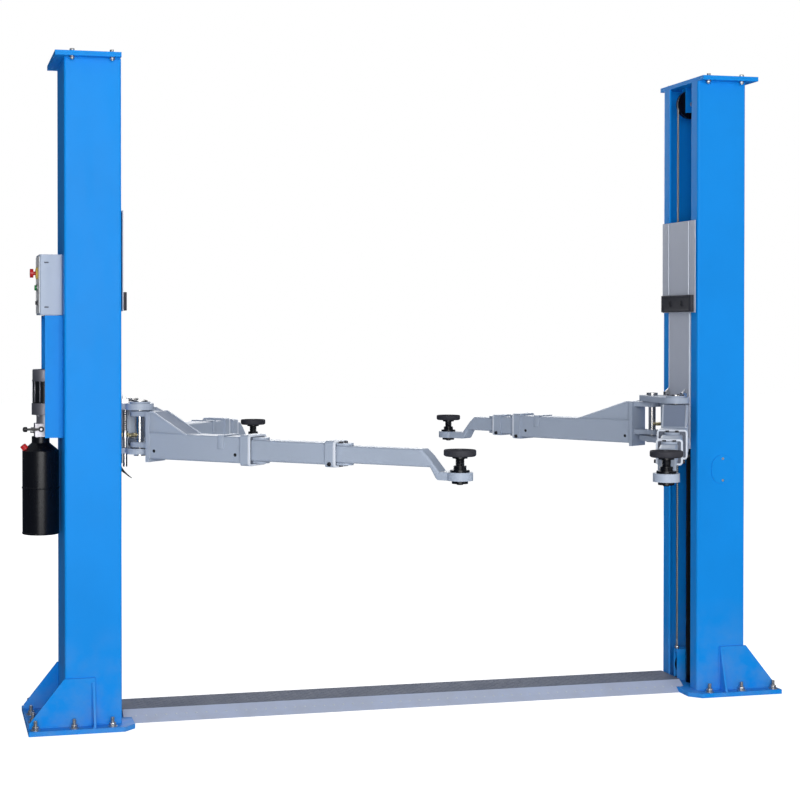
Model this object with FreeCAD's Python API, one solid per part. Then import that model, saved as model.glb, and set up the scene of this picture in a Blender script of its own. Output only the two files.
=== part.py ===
import FreeCAD
import Part
import math
import os

from FreeCAD import Vector

# Two post car lift. Millimetres, +Z up, +X to the right post, +Y away from the front.
# The origin is on the floor, midway between the posts.

# Posts
overall_height = 2850.0
post_outer_x = 1565.0
post_depth = 240.0
post_width = 360.0
post_wall = 8.0
post_lip = 66.0
post_corner = 10.0
end_plate = 10.0
end_plate_outer = 40.0
end_plate_setback = 4.0
end_plate_side = 45.0

# Base plates and gussets
base_thickness = 20.0
base_outer = 155.0
base_inner = 53.0
base_width = 500.0
base_chamfer = 48.0
anchor_radius = 10.0
anchor_edge = 30.0
anchor_pitch_x = 160.0
anchor_side_y = 70.0
gusset_wall = 10.0
gusset_height = 200.0
gusset_outer = 150.0
gusset_inner = 125.0
gusset_toe = 18.0
gusset_shoulder = 4.0
rib_reach = 53.0

# Rope, its pulleys and their brackets
rope_radius = 5.0
rope_y = 62.0
rope_gap = 0.3
floor_clearance = 6.0
pulley_x = 1405.0
pulley_run = 62.0
pulley_flange = 5.0
pulley_width = 22.0
top_pulley_drop = 97.0
axle_radius = 15.0
axle_clearance = 0.05
cheek_wall = 6.0
cheek_gap = 3.0
cheek_half = 32.0
cheek_past_axle = 40.0
rope_socket = 16.0
socket_above_axle = 76.0

# Floor cover
cover_height = 46.0
cover_sheet = 3.0
cover_top_width = 190.0
cover_ramp = 80.0
cover_end_gap = 17.0
cover_rib = 8.0
cover_rib_notch = 10.0
cover_plate_gap = 0.3

# Hydraulic cylinders and rods
barrel_radius = 38.0
barrel_x = 1400.0
barrel_top = 1200.0
rod_radius = 22.5
rod_clearance = 0.1
rod_bottom = 700.0
rod_top = 1740.0
rod_head = 30.0
rod_head_cheek = 8.0
rod_sheave = 45.0
rod_sheave_width = 26.0

# Carriages
carriage_bottom = 1131.0
carriage_top = 2191.0
carriage_plate = 10.0
carriage_lip_gap = 5.0
carriage_sheet = 4.0
carriage_half = 107.0
carriage_wide_half = 170.0
carriage_wide_from = 1765.0
carriage_back_gap = 20.0
slider_gap = 0.5
slider_length = 150.0
slider_depth = 40.0
slider_bevel = 14.0
guard_thickness = 17.0
guard_height = 78.0
guard_half = 158.0
guard_above = 3.0
guard_round = 6.0

# Arm ears, pins and locks
hinge_x = 1242.0
hinge_y = 125.0
ear_radius = 60.0
lower_ear_z = 1157.0
lower_ear = 24.0
upper_ear_z = 1345.0
upper_ear = 27.0
ear_gap = 5.0
yoke_web = 36.0
yoke_web_half = 60.0
yoke_block = 33.0
yoke_block_half = 50.0
yoke_block_z = 1233.0
pin_radius = 17.0
pin_clearance = 0.05
pin_head = 26.0
pin_head_height = 11.0
pin_foot = 7.0
pin_seat = 1.0
lock_radius = 6.0
lock_clearance = 0.3
lock_inset = 20.0
lock_y = 88.0
lock_tube = 9.5
lock_bottom = 1100.0
lock_block = 24.0
lock_block_height = 18.0
lock_collar = 13.0
lock_collar_z = 1225.0
lock_collar_height = 25.0

# Arms
lug_radius = 40.0
lug_thickness = 22.0
root_plate_x = 75.0
root_plate = 15.0
root_plate_over = 5.0
root_plate_drop = 14.0
tube_bottom = 1142.0
tube_height = 108.0
tube_width = 110.0
tube_wall = 7.0
tube_corner = 9.0
tube_gap = 4.0
inner_wall = 5.0
wedge_flat = 20.0
wedge_taper = 7.0
collar_wall = 9.0
collar_length = 32.0
collar_clearance = 0.4
collar_mouth = 10.0
collar_corner = 13.0
tongue_length = 55.0
tongue_half = 32.0
tongue_thickness = 9.0
slope_length = 54.0
slope_back = 23.0
slope_lead = 8.0
slope_break = 5.0
slope_drop = 25.0
heel_start = 14.0
heel_break = 38.0
heel_rise = 7.0
heel_length = 51.0
ring_radius = 50.0
bar_bottom = 1115.0
bar_thickness = 32.0

# Screw pads
pad_top = 1232.0
pad_radius = 62.0
pad_thickness = 25.0
pad_collar_radius = 29.0
pad_collar_height = 8.0
screw_radius = 17.5
screw_bottom = 1105.0
sleeve_radius = 24.0
sleeve_top = 1172.0
sleeve_collar = 37.0
sleeve_collar_height = 9.0
sleeve_nut = 31.0
sleeve_nut_height = 12.0

# Power unit on the left post
unit_y = 10.0
bracket_half = 110.0
bracket_depth = 75.0
bracket_sheet = 6.0
bracket_bottom = 1228.0
bracket_top = 1749.0
motor_radius = 56.0
motor_gap = 2.0
motor_top = 1516.0
motor_bottom = 1372.0
motor_round = 14.0
flange_radius = 60.0
flange_bottom = 1322.0
pump_radius = 40.0
pump_bottom = 1285.0
valve_half = 48.0
tank_radius = 78.0
tank_top = 1229.0
tank_bottom = 813.0
tank_neck = 38.0
tank_neck_height = 27.0
tank_shoulder = 34.0
box_depth = 96.0
box_half = 110.0
box_bottom = 1749.0
box_height = 256.0
box_lift = 2.0
box_corner = 6.0
button_collar = 3.0
stop_z = 1928.0
stop_radius = 19.0
stop_length = 34.0
stop_stem = 8.0
stop_head = 14.0
stop_seat = 2.0
raise_z = 1866.0
raise_radius = 12.0
raise_length = 9.0
button_clearance = 0.3
button_depth = 12.0
lever_z = 1262.0
lever_hub = 12.0
lever_reach = 78.0
lever_bar = 9.0
lever_half = 5.0
lever_offset = 23.4
lever_pin = 5.0
lever_gap = 2.0

# Access cover on the right post
access_x = 1452.0
access_z = 1039.0
access_width = 110.0
access_height = 134.0
access_sheet = 3.0

# Worked out from the sizes above
post_inner_x = post_outer_x - post_depth
post_half = post_width / 2.0
post_top = overall_height - 2.0 * end_plate
pulley_low_z = base_thickness + floor_clearance + rope_radius + pulley_run
pulley_high_z = overall_height - top_pulley_drop
rope_floor_z = pulley_low_z - pulley_run
face_x = post_inner_x - carriage_lip_gap
sheet_x = face_x - carriage_sheet
lock_x = face_x - lock_inset
anchor_outer_x = post_outer_x + base_outer - anchor_edge
anchor_row_y = base_width / 2.0 - anchor_edge
lug_top = upper_ear_z - ear_gap
lug_bottom = lower_ear_z + lower_ear + ear_gap
web_inner_x = post_outer_x - post_wall
lip_inner_x = post_inner_x + post_wall


def box(x, y, z):
    """Box between three pairs of limits."""
    size = [abs(pair[1] - pair[0]) for pair in (x, y, z)]
    return Part.makeBox(size[0], size[1], size[2], Vector(min(x), min(y), min(z)))


def rod(radius, start, end):
    """Round bar between two points."""
    along = Vector(*end) - Vector(*start)
    return Part.makeCylinder(radius, along.Length, Vector(*start), along)


def upright(radius, x, y, z):
    """Round bar along Z between the two heights in z."""
    return rod(radius, (x, y, z[0]), (x, y, z[1]))


def prism_z(points, z):
    """Prism over an outline in X and Y."""
    face = Part.Face(Part.makePolygon([Vector(x, y, z[0]) for x, y in points + points[:1]]))
    return face.extrude(Vector(0, 0, z[1] - z[0]))


def prism_y(points, y):
    """Prism over an outline in X and Z."""
    face = Part.Face(Part.makePolygon([Vector(x, y[0], z) for x, z in points + points[:1]]))
    return face.extrude(Vector(0, y[1] - y[0], 0))


def prism_x(points, x):
    """Prism over an outline in Y and Z."""
    face = Part.Face(Part.makePolygon([Vector(x[0], y, z) for y, z in points + points[:1]]))
    return face.extrude(Vector(x[1] - x[0], 0, 0))


def round_uprights(shape, radius):
    """Rounds the edges of a box that run along Z."""
    edges = []
    for edge in shape.Edges:
        ends = [v.Point for v in edge.Vertexes]
        if abs(ends[0].x - ends[1].x) < 1e-6 and abs(ends[0].y - ends[1].y) < 1e-6:
            edges.append(edge)
    return shape.makeFillet(radius, edges)


def join(*shapes):
    """One solid from shapes that touch."""
    whole = shapes[0]
    for shape in shapes[1:]:
        whole = whole.fuse(shape)
    return whole.removeSplitter()


def group(shapes):
    """Separate solids kept in one node."""
    return Part.makeCompound(shapes)


def mirror_x(shape):
    return shape.mirror(Vector(0, 0, 0), Vector(1, 0, 0))


def mirror_y(shape):
    return shape.mirror(Vector(0, 0, 0), Vector(0, 1, 0))


def save(name, shape):
    shape.exportStep("parts/" + name + ".step")


# Posts, all drawn on the right and mirrored to the left


def channel_outline():
    """Closed outline of the folded channel: down one face of the sheet and back along the other."""
    low = post_inner_x + post_corner
    high = post_outer_x - post_corner
    side = post_half - post_corner
    mouth = post_half - post_lip
    corners = [(low, -side, 225.0), (high, -side, 315.0), (high, side, 45.0), (low, side, 135.0)]
    edges = []
    ends = []
    for radius, order in ((post_corner, 1.0), (post_corner - post_wall, -1.0)):
        lip_x = low - radius
        last = Vector(lip_x, -order * mouth, base_thickness)
        ends.append(last)
        for x, y, middle in corners if order > 0.0 else reversed(corners):
            turn = []
            for angle in (middle - order * 45.0, middle, middle + order * 45.0):
                direction = Vector(math.cos(math.radians(angle)), math.sin(math.radians(angle)), 0)
                turn.append(Vector(x, y, base_thickness) + direction * radius)
            edges.append(Part.LineSegment(last, turn[0]).toShape())
            edges.append(Part.Arc(*turn).toShape())
            last = turn[2]
        tip = Vector(lip_x, order * mouth, base_thickness)
        edges.append(Part.LineSegment(last, tip).toShape())
        ends.append(tip)
    edges.append(Part.LineSegment(ends[1], ends[2]).toShape())
    edges.append(Part.LineSegment(ends[3], ends[0]).toShape())
    return Part.Wire(Part.__sortEdges__(edges))


def post():
    """Folded channel, open towards the other post, with its end plate."""
    channel = Part.Face(channel_outline()).extrude(Vector(0, 0, post_top - base_thickness))
    return join(channel, end_cap((post_top, post_top + end_plate)))


def end_cap(z):
    """Plate on the end of a post."""
    side = post_half + end_plate_side
    return box((post_inner_x + end_plate_setback, post_outer_x + end_plate_outer), (-side, side), z)


def anchor_points():
    """Places of the anchor bolts of the right post, in X and Y."""
    points = [(anchor_outer_x, anchor_side_y), (anchor_outer_x, -anchor_side_y)]
    for step in range(3):
        for side in (-1.0, 1.0):
            points.append((anchor_outer_x - step * anchor_pitch_x, side * anchor_row_y))
    return points


def base_plate():
    """Floor plate with bevelled inner corners and open anchor holes."""
    inner = post_inner_x - base_inner
    outer = post_outer_x + base_outer
    half = base_width / 2.0
    outline = [
        (inner, base_chamfer - half),
        (inner + base_chamfer, -half),
        (outer, -half),
        (outer, half),
        (inner + base_chamfer, half),
        (inner, half - base_chamfer),
    ]
    plate = prism_z(outline, (0.0, base_thickness))
    for x, y in anchor_points():
        plate = plate.cut(upright(anchor_radius, x, y, (-1.0, base_thickness + 1.0)))
    return plate


def gusset():
    """Plate on the front flank of the post, with a rib square to it."""
    low = base_thickness
    top = low + gusset_height
    inner = post_outer_x - gusset_inner
    outer = post_outer_x + gusset_outer
    outline = [
        (inner, low),
        (inner, top),
        (post_outer_x + gusset_shoulder, top),
        (outer, low + gusset_toe),
        (outer, low),
    ]
    flank = prism_y(outline, (-post_half - gusset_wall, -post_half))
    y = -post_half - gusset_wall
    rib = prism_x([(y, low), (y - rib_reach, low), (y, top - gusset_toe)], (inner, inner + gusset_wall))
    return join(flank, rib)


def access_cover():
    """Oval cover on the front flank of the right post."""
    radius = access_width / 2.0
    reach = access_height / 2.0 - radius
    y = (-post_half - access_sheet, -post_half)
    shape = box((access_x - radius, access_x + radius), y, (access_z - reach, access_z + reach))
    for side in (-1.0, 1.0):
        z = access_z + side * reach
        shape = shape.fuse(rod(radius, (access_x, y[0], z), (access_x, y[1], z)))
    return shape.removeSplitter()


# Rope and pulleys


def pulley(z):
    """Grooved wheel that turns on its axle."""
    half = pulley_width / 2.0
    wheel = rod(pulley_run + pulley_flange, (pulley_x, rope_y - half, z), (pulley_x, rope_y + half, z))
    groove = rope_radius + rope_gap
    centre = Vector(pulley_x, rope_y, z)
    wheel = wheel.cut(Part.makeTorus(pulley_run, groove, centre, Vector(0, 1, 0)))
    reach = pulley_run + 2.0 * pulley_flange
    slot = rod(reach, (pulley_x, rope_y - groove, z), (pulley_x, rope_y + groove, z))
    slot = slot.cut(rod(pulley_run, (pulley_x, rope_y - half, z), (pulley_x, rope_y + half, z)))
    bore = axle_radius + axle_clearance
    hole = rod(bore, (pulley_x, rope_y - half - 1.0, z), (pulley_x, rope_y + half + 1.0, z))
    return wheel.cut(slot).cut(hole)


def cheeks(z, x):
    """Two cheek plates beside a pulley, between the heights in z."""
    near = pulley_width / 2.0 + cheek_gap
    plates = []
    for side in (-1.0, 1.0):
        y = (rope_y + side * near, rope_y + side * (near + cheek_wall))
        plates.append(box(x, y, z))
    return plates


def axle(z):
    reach = pulley_width / 2.0 + cheek_gap + cheek_wall
    return rod(axle_radius, (pulley_x, rope_y - reach, z), (pulley_x, rope_y + reach, z))


def top_bracket():
    """Cheeks and axle that hang from the end plate."""
    x = (pulley_x - cheek_half, pulley_x + cheek_half)
    return join(axle(pulley_high_z), *cheeks((pulley_high_z - cheek_past_axle, post_top), x))


def low_bracket():
    """Cheeks and axle on the base plate, with the bar that holds the rope's end."""
    rope_x = pulley_x - pulley_run
    x = (rope_x - rope_socket / 2.0, pulley_x + cheek_half)
    socket_z = pulley_low_z + socket_above_axle
    near = pulley_width / 2.0 + cheek_gap
    bar = box(
        (rope_x - rope_socket / 2.0, rope_x + rope_socket / 2.0),
        (rope_y - near, rope_y + near),
        (socket_z - rope_socket, socket_z),
    )
    return join(axle(pulley_low_z), bar, *cheeks((base_thickness, socket_z), x))


def rope():
    """One taut rope: over each top pulley, down the web, under the floor cover."""
    z_end = pulley_low_z + socket_above_axle
    inner = pulley_x - pulley_run
    outer = pulley_x + pulley_run
    turn = pulley_run * math.sqrt(0.5)
    points = [(inner, z_end), (inner, pulley_high_z), (pulley_x, pulley_high_z + pulley_run)]
    points += [(outer, pulley_high_z), (outer, pulley_low_z)]
    points += [(pulley_x + turn, pulley_low_z - turn), (pulley_x, rope_floor_z)]
    right = [Vector(x, rope_y, z) for x, z in points]
    left = [Vector(-x, rope_y, z) for x, z in reversed(points)]
    edges = []
    edges.append(Part.LineSegment(right[0], right[1]).toShape())
    edges.append(Part.Arc(right[1], right[2], right[3]).toShape())
    edges.append(Part.LineSegment(right[3], right[4]).toShape())
    edges.append(Part.Arc(right[4], right[5], right[6]).toShape())
    edges.append(Part.LineSegment(right[6], left[0]).toShape())
    edges.append(Part.Arc(left[0], left[1], left[2]).toShape())
    edges.append(Part.LineSegment(left[2], left[3]).toShape())
    edges.append(Part.Arc(left[3], left[4], left[5]).toShape())
    edges.append(Part.LineSegment(left[5], left[6]).toShape())
    path = Part.Wire(edges)
    section = Part.Wire([Part.makeCircle(rope_radius, right[0], Vector(0, 0, 1))])
    return path.makePipeShell([section], True, False)


def floor_cover():
    """Folded sheet between the posts, with a ramp on each side and a rib under its middle."""
    reach = post_inner_x - cover_end_gap
    half = cover_top_width / 2.0
    foot = half + cover_ramp
    lean = cover_sheet * math.hypot(cover_ramp, cover_height) / cover_height
    inside = cover_height - cover_sheet
    inner_half = half - cover_sheet * 0.5
    outer = [(-foot, 0.0), (-half, cover_height), (half, cover_height), (foot, 0.0)]
    inner = [(lean - foot, 0.0), (-inner_half, inside), (inner_half, inside), (foot - lean, 0.0)]
    place = Vector(0, rope_y, 0)
    sheet = prism_x(outer, (-reach, reach)).cut(prism_x(inner, (-reach, reach)))
    rib = prism_x(inner, (-cover_rib / 2.0, cover_rib / 2.0))
    notch = box(
        (-cover_rib, cover_rib),
        (-cover_rib_notch, cover_rib_notch),
        (rope_floor_z - cover_rib_notch, cover_height - cover_sheet),
    )
    shape = join(sheet, rib.cut(notch))
    shape.translate(place)
    plate_x = post_inner_x - base_inner - cover_plate_gap
    for side in (-1.0, 1.0):
        clear = box(
            (side * plate_x, side * post_outer_x),
            (-base_width, base_width),
            (-1.0, base_thickness + cover_plate_gap),
        )
        shape = shape.cut(clear)
    return shape


# Cylinders, rods and carriages


def barrel():
    """Cylinder barrel that stands on the base plate."""
    bore = rod_radius + rod_clearance
    whole = upright(barrel_radius, barrel_x, 0.0, (base_thickness, barrel_top))
    return whole.cut(upright(bore, barrel_x, 0.0, (base_thickness + rod_head, barrel_top + 1.0)))


def lift_rod():
    """Piston rod with the chain roller on its head."""
    bar = upright(rod_radius, barrel_x, 0.0, (rod_bottom, rod_top))
    head_top = rod_top + 2.0 * rod_head
    half = rod_sheave_width / 2.0
    side = half + rod_head_cheek
    head = box((barrel_x - rod_head, barrel_x + rod_head), (-side, side), (rod_top, head_top))
    z = head_top
    wheel = rod(rod_sheave, (barrel_x, -half, z), (barrel_x, half, z))
    return join(bar, head, wheel)


def slider(inward, low):
    """Guide block between a side plate and the post, at one corner of its hollow."""
    near = carriage_half
    far = post_half - post_wall - slider_gap
    if inward:
        x = lip_inner_x + slider_gap
        deep = x + slider_depth
    else:
        x = web_inner_x - slider_gap
        deep = x - slider_depth
    bevel = slider_bevel if deep > x else -slider_bevel
    outline = [(deep, near), (x, near), (x, far - slider_bevel), (x + bevel, far), (deep, far)]
    return prism_z(outline, (low, low + slider_length))


def carriage():
    """Carriage: face plate, wider sheet on its upper part, two side plates and guide blocks."""
    z = (carriage_bottom, carriage_top)
    face = box((face_x, face_x + carriage_plate), (-carriage_half, carriage_half), z)
    half = carriage_wide_half
    shape = face.fuse(box((sheet_x, face_x), (-half, half), (carriage_wide_from, carriage_top)))
    back = web_inner_x - carriage_back_gap
    for side in (-1.0, 1.0):
        y = (side * (carriage_half - carriage_plate), side * carriage_half)
        shape = shape.fuse(box((face_x, back), y, z))
    for inward in (True, False):
        for low in (carriage_bottom, carriage_top - slider_length):
            block = slider(inward, low)
            shape = shape.fuse(block).fuse(mirror_y(block))
    return shape.removeSplitter()


def door_guard():
    """Rubber block on the face of the carriage."""
    z = carriage_wide_from + guard_above
    x = (sheet_x - guard_thickness, sheet_x)
    block = box(x, (-guard_half, guard_half), (z, z + guard_height))
    edges = [e for e in block.Edges if all(v.Point.x < sheet_x - 1.0 for v in e.Vertexes)]
    return block.makeFillet(guard_round, edges)


def ear(z):
    """Ear plate that carries two arm pins, with the holes of the lock rods."""
    front = box((hinge_x - ear_radius, hinge_x), (-hinge_y, hinge_y), z)
    shape = front.fuse(box((hinge_x, face_x), (-carriage_half, carriage_half), z))
    for side in (-1.0, 1.0):
        shape = shape.fuse(upright(ear_radius, hinge_x, side * hinge_y, z))
    clear = (z[0] - 1.0, z[1] + 1.0)
    for side in (-1.0, 1.0):
        shape = shape.cut(upright(pin_radius + pin_clearance, hinge_x, side * hinge_y, clear))
        shape = shape.cut(upright(lock_radius + lock_clearance, lock_x, side * lock_y, clear))
    return shape.removeSplitter()


def yoke():
    """Arm bracket of a carriage: two ears, the web between them and the stop block of the arms."""
    top = upper_ear_z + upper_ear
    web_x = face_x - yoke_web
    web = box((web_x, face_x), (-yoke_web_half, yoke_web_half), (lower_ear_z, top))
    block = box((web_x - yoke_block, web_x), (-yoke_block_half, yoke_block_half), (yoke_block_z, top))
    lower = ear((lower_ear_z, lower_ear_z + lower_ear))
    upper = ear((upper_ear_z, top))
    return join(web, block, lower, upper)


def lock_rods():
    """Arm lock rods, one behind each pin, with a tube round each lower end."""
    top = upper_ear_z + upper_ear
    half = lock_block / 2.0
    rods = []
    for side in (-1.0, 1.0):
        y = side * lock_y
        bar = upright(lock_radius, lock_x, y, (lock_bottom, top))
        sleeve = upright(lock_tube, lock_x, y, (lock_bottom, lower_ear_z))
        collar = upright(lock_collar, lock_x, y, (lock_collar_z, lock_collar_z + lock_collar_height))
        block = box((lock_x - half, lock_x + half), (y - half, y + half), (top, top + lock_block_height))
        rods.append(join(bar, sleeve, collar, block))
    return group(rods)


# Arms, drawn along +X from the hinge and then turned into place


def bar(x, half, z, corner):
    """Square bar along X with rounded long edges."""
    shape = box(x, (-half, half), z)
    edges = [e for e in shape.Edges if abs(e.Vertexes[0].Point.x - e.Vertexes[1].Point.x) > 1e-6]
    return shape.makeFillet(corner, edges)


def tube(x, half, z, wall):
    """Square tube along X with rounded corners."""
    inner = bar((x[0] - 1.0, x[1] + 1.0), half - wall, (z[0] + wall, z[1] - wall), tube_corner - wall)
    return bar(x, half, z, tube_corner).cut(inner)


def shell_step(level):
    """Half width, bottom, top and wall of a tube: 0 outer, 1 middle, 2 inner."""
    half = tube_width / 2.0
    low = tube_bottom
    high = tube_bottom + tube_height
    wall = tube_wall
    for _ in range(level):
        half -= wall + tube_gap
        low += wall + tube_gap
        high -= wall + tube_gap
        wall = inner_wall
    return half, low, high, wall


def arm_pin():
    """Hinge pin with its head over the upper ear."""
    top = upper_ear_z + upper_ear + pin_seat
    low = lower_ear_z - pin_seat
    bar = upright(pin_radius, 0.0, 0.0, (low - pin_foot, top + pin_head_height))
    head = upright(pin_head, 0.0, 0.0, (top, top + pin_head_height))
    foot = upright(pin_head, 0.0, 0.0, (low - pin_foot, low))
    return join(bar, head, foot)


def guide(end, level):
    """Collar at the mouth of a tube, with a tongue above and below the next tube."""
    half, low, high, _ = shell_step(level)
    next_half, next_low, next_high, _ = shell_step(level + 1)
    x = (end - collar_length, end + collar_mouth)
    band = bar(x, half + collar_wall, (low - collar_wall, high + collar_wall), collar_corner)
    band = band.cut(bar((x[0] - 1.0, end), half, (low, high), tube_corner))
    clear = collar_clearance
    z = (next_low - clear, next_high + clear)
    shape = band.cut(bar((end - 1.0, x[1] + 1.0), next_half + clear, z, tube_corner + clear))
    x = end + collar_mouth
    tip = x + tongue_length - tongue_half
    for z in (next_high + clear, next_low - clear - tongue_thickness):
        span = (z, z + tongue_thickness)
        plate = box((x, tip), (-tongue_half, tongue_half), span)
        shape = shape.fuse(plate).fuse(upright(tongue_half, tip, 0.0, span))
    return shape


def outer_arm(end, wedge):
    """First tube of an arm with its lugs, root plate, collar and a wedge of the given length."""
    half, low, high, wall = shell_step(0)
    start = root_plate_x + root_plate
    plate = box(
        (root_plate_x, start),
        (-half - root_plate_over, half + root_plate_over),
        (low - root_plate_drop, lug_top),
    )
    shape = join(plate, tube((start, end), half, (low, high), wall))
    for z in ((lug_top - lug_thickness, lug_top), (lug_bottom, lug_bottom + lug_thickness)):
        lug = box((0.0, root_plate_x), (-lug_radius, lug_radius), z)
        lug = lug.fuse(upright(lug_radius, 0.0, 0.0, z))
        shape = shape.fuse(lug.cut(upright(pin_radius, 0.0, 0.0, (z[0] - 1.0, z[1] + 1.0))))
    foot = high - tube_corner
    outline = [
        (start, foot),
        (start, lug_top),
        (start + wedge_flat, lug_top),
        (start + wedge, high),
        (start + wedge, foot),
    ]
    hump = prism_y(outline, (-half, half))
    trim = [(start, half - wedge_taper), (start + wedge, half), (start + wedge, half + 1.0), (start, half + 1.0)]
    trim = prism_z(trim, (high, lug_top + 1.0))
    hump = hump.cut(trim).cut(mirror_y(trim))
    return join(shape.fuse(hump), guide(end, 0))


def middle_arm(start, end):
    """Second tube of an arm with its collar."""
    half, low, high, wall = shell_step(1)
    return join(tube((start, end), half, (low, high), wall), guide(end, 1))


def along_side(edge, half):
    """Whether a straight edge runs along one of the sides at half width, and not upright."""
    ends = [v.Point for v in edge.Vertexes]
    level = all(abs(abs(point.y) - half) < 1e-6 for point in ends) and abs(ends[0].y - ends[1].y) < 1e-6
    return level and abs(ends[0].x - ends[1].x) > 1e-6


def inner_arm(start, end, pad_x):
    """Third tube, its sloping end and the bar with the ring of the screw pad."""
    half, low, high, wall = shell_step(2)
    root = end - slope_back - slope_lead
    body = tube((start, root), half, (low, high), wall)
    bar_top = bar_bottom + bar_thickness
    bend = [
        (root, high),
        (end - slope_back, high),
        (end + slope_break, high - slope_drop),
        (end + slope_length, bar_top),
        (end + slope_length, bar_bottom),
        (end + heel_length, bar_bottom),
        (end + heel_break, bar_bottom + heel_rise),
        (end + heel_start, low),
        (root, low),
    ]
    neck = prism_y(bend, (-half, half))
    over = [e for e in neck.Edges if along_side(e, half) and max(v.Point.z for v in e.Vertexes) > bar_top + 1.0]
    neck = neck.makeFillet(tube_corner, over)
    shape = join(body, neck)
    shape = shape.fuse(box((end + slope_length, pad_x), (-half, half), (bar_bottom, bar_top)))
    shape = shape.fuse(upright(ring_radius, pad_x, 0.0, (bar_bottom, bar_top)))
    clear = (bar_bottom - 1.0, bar_top + 1.0)
    return shape.cut(upright(sleeve_radius, pad_x, 0.0, clear)).removeSplitter()


def screw_sleeve(pad_x):
    """Threaded sleeve in the ring, with its collar and nut."""
    bar_top = bar_bottom + bar_thickness
    low = bar_bottom - sleeve_nut_height
    shape = join(
        upright(sleeve_radius, pad_x, 0.0, (low, sleeve_top)),
        upright(sleeve_collar, pad_x, 0.0, (bar_top, bar_top + sleeve_collar_height)),
        upright(sleeve_nut, pad_x, 0.0, (low, bar_bottom)),
    )
    bore = screw_radius + pin_clearance
    return shape.cut(upright(bore, pad_x, 0.0, (low - 1.0, sleeve_top + 1.0)))


def screw_pad(pad_x):
    """Screw with the round pad on its head."""
    low = pad_top - pad_thickness
    disc = upright(pad_radius, pad_x, 0.0, (low, pad_top))
    collar = upright(pad_collar_radius, pad_x, 0.0, (low - pad_collar_height, low))
    screw = upright(screw_radius, pad_x, 0.0, (screw_bottom, low))
    return join(disc, collar, screw)


# Name, side, row, turn from +X in degrees, end of the outer tube and length of its wedge, ends of
# the other two tubes, and the pad's distance from the hinge
arms = [
    ("left_front", -1.0, -1.0, -44.4, (588.0, 190.0), (450.0, 982.0), (850.0, 1389.0), 1516.0),
    ("right_front", 1.0, -1.0, -117.1, (588.0, 190.0), (500.0, 1032.0), (784.0, 1323.0), 1450.0),
    ("left_rear", -1.0, 1.0, 50.5, (760.0, 293.0), (330.0, 862.0), (423.0, 955.0), 1125.0),
    ("right_rear", 1.0, 1.0, 123.7, (760.0, 293.0), (361.0, 893.0), (533.0, 1065.0), 1235.0),
]


def place(shape, side, row, turn):
    """Turns an arm piece and moves it to its hinge."""
    shape.rotate(Vector(0, 0, 0), Vector(0, 0, 1), turn)
    shape.translate(Vector(side * hinge_x, row * hinge_y, 0))
    return shape


# Power unit, on the outer face of the left post

wall_x = -post_outer_x
motor_x = wall_x - bracket_sheet - motor_gap - motor_radius
tank_x = wall_x - bracket_sheet - motor_gap - tank_radius


def motor_bracket():
    """Folded bracket with two side flanges and a closed top."""
    y = (unit_y - bracket_half, unit_y + bracket_half)
    z = (bracket_bottom, bracket_top - box_lift)
    whole = box((wall_x - bracket_depth, wall_x), y, z)
    room = box(
        (wall_x - bracket_depth - 1.0, wall_x - bracket_sheet),
        (y[0] + bracket_sheet, y[1] - bracket_sheet),
        (z[0] - 1.0, z[1] - bracket_sheet),
    )
    return whole.cut(room)


def motor():
    """Motor with its end cap, on the flange of the pump."""
    body = upright(motor_radius, motor_x, unit_y, (motor_bottom, motor_top))
    edge = [e for e in body.Edges if all(v.Point.z > motor_top - 1.0 for v in e.Vertexes)]
    return body.makeFillet(motor_round, edge)


def pump_block():
    """Flange, pump body and valve block between the motor and the tank."""
    flange = upright(flange_radius, motor_x, unit_y, (flange_bottom, motor_bottom))
    y = (unit_y - flange_radius, unit_y + flange_radius)
    flange = flange.cut(box((wall_x - bracket_sheet, wall_x), y, (flange_bottom, motor_bottom)))
    pump = upright(pump_radius, motor_x, unit_y, (pump_bottom, flange_bottom))
    low = tank_top
    valve = box(
        (motor_x - valve_half, motor_x + valve_half),
        (unit_y - valve_half, unit_y + valve_half),
        (low, pump_bottom),
    )
    return join(flange, pump, valve)


def oil_tank():
    """Round oil tank with a shoulder and a short neck."""
    neck = tank_top - tank_neck_height
    shoulder = neck - tank_shoulder
    body = upright(tank_radius, tank_x, unit_y, (tank_bottom, shoulder))
    cone = Part.makeCone(tank_radius, tank_neck, tank_shoulder, Vector(tank_x, unit_y, shoulder))
    top = upright(tank_neck, tank_x, unit_y, (neck, tank_top))
    return join(body, cone, top)


def control_box():
    """Switch box with two stub holes for its buttons."""
    x = wall_x - box_depth
    shape = box(
        (x, wall_x),
        (unit_y - box_half, unit_y + box_half),
        (box_bottom, box_bottom + box_height),
    )
    shape = round_uprights(shape, box_corner)
    for z, radius in ((stop_z, stop_stem), (raise_z, raise_radius)):
        bore = radius + button_clearance
        shape = shape.cut(rod(bore, (x - 1.0, unit_y, z), (x + button_depth, unit_y, z)))
    return shape


def stop_button():
    """Mushroom button on a short stem."""
    x = wall_x - box_depth
    back = x - stop_length + stop_head
    stem = rod(stop_stem, (x + stop_seat, unit_y, stop_z), (back - stop_seat, unit_y, stop_z))
    head = rod(stop_radius, (back, unit_y, stop_z), (x - stop_length, unit_y, stop_z))
    return join(stem, head)


def raise_button():
    """Flat push button."""
    x = wall_x - box_depth
    return rod(raise_radius, (x + button_collar, unit_y, raise_z), (x - raise_length, unit_y, raise_z))


def lever_seat():
    """Front face of the valve block, where the lever turns."""
    return unit_y - valve_half


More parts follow.
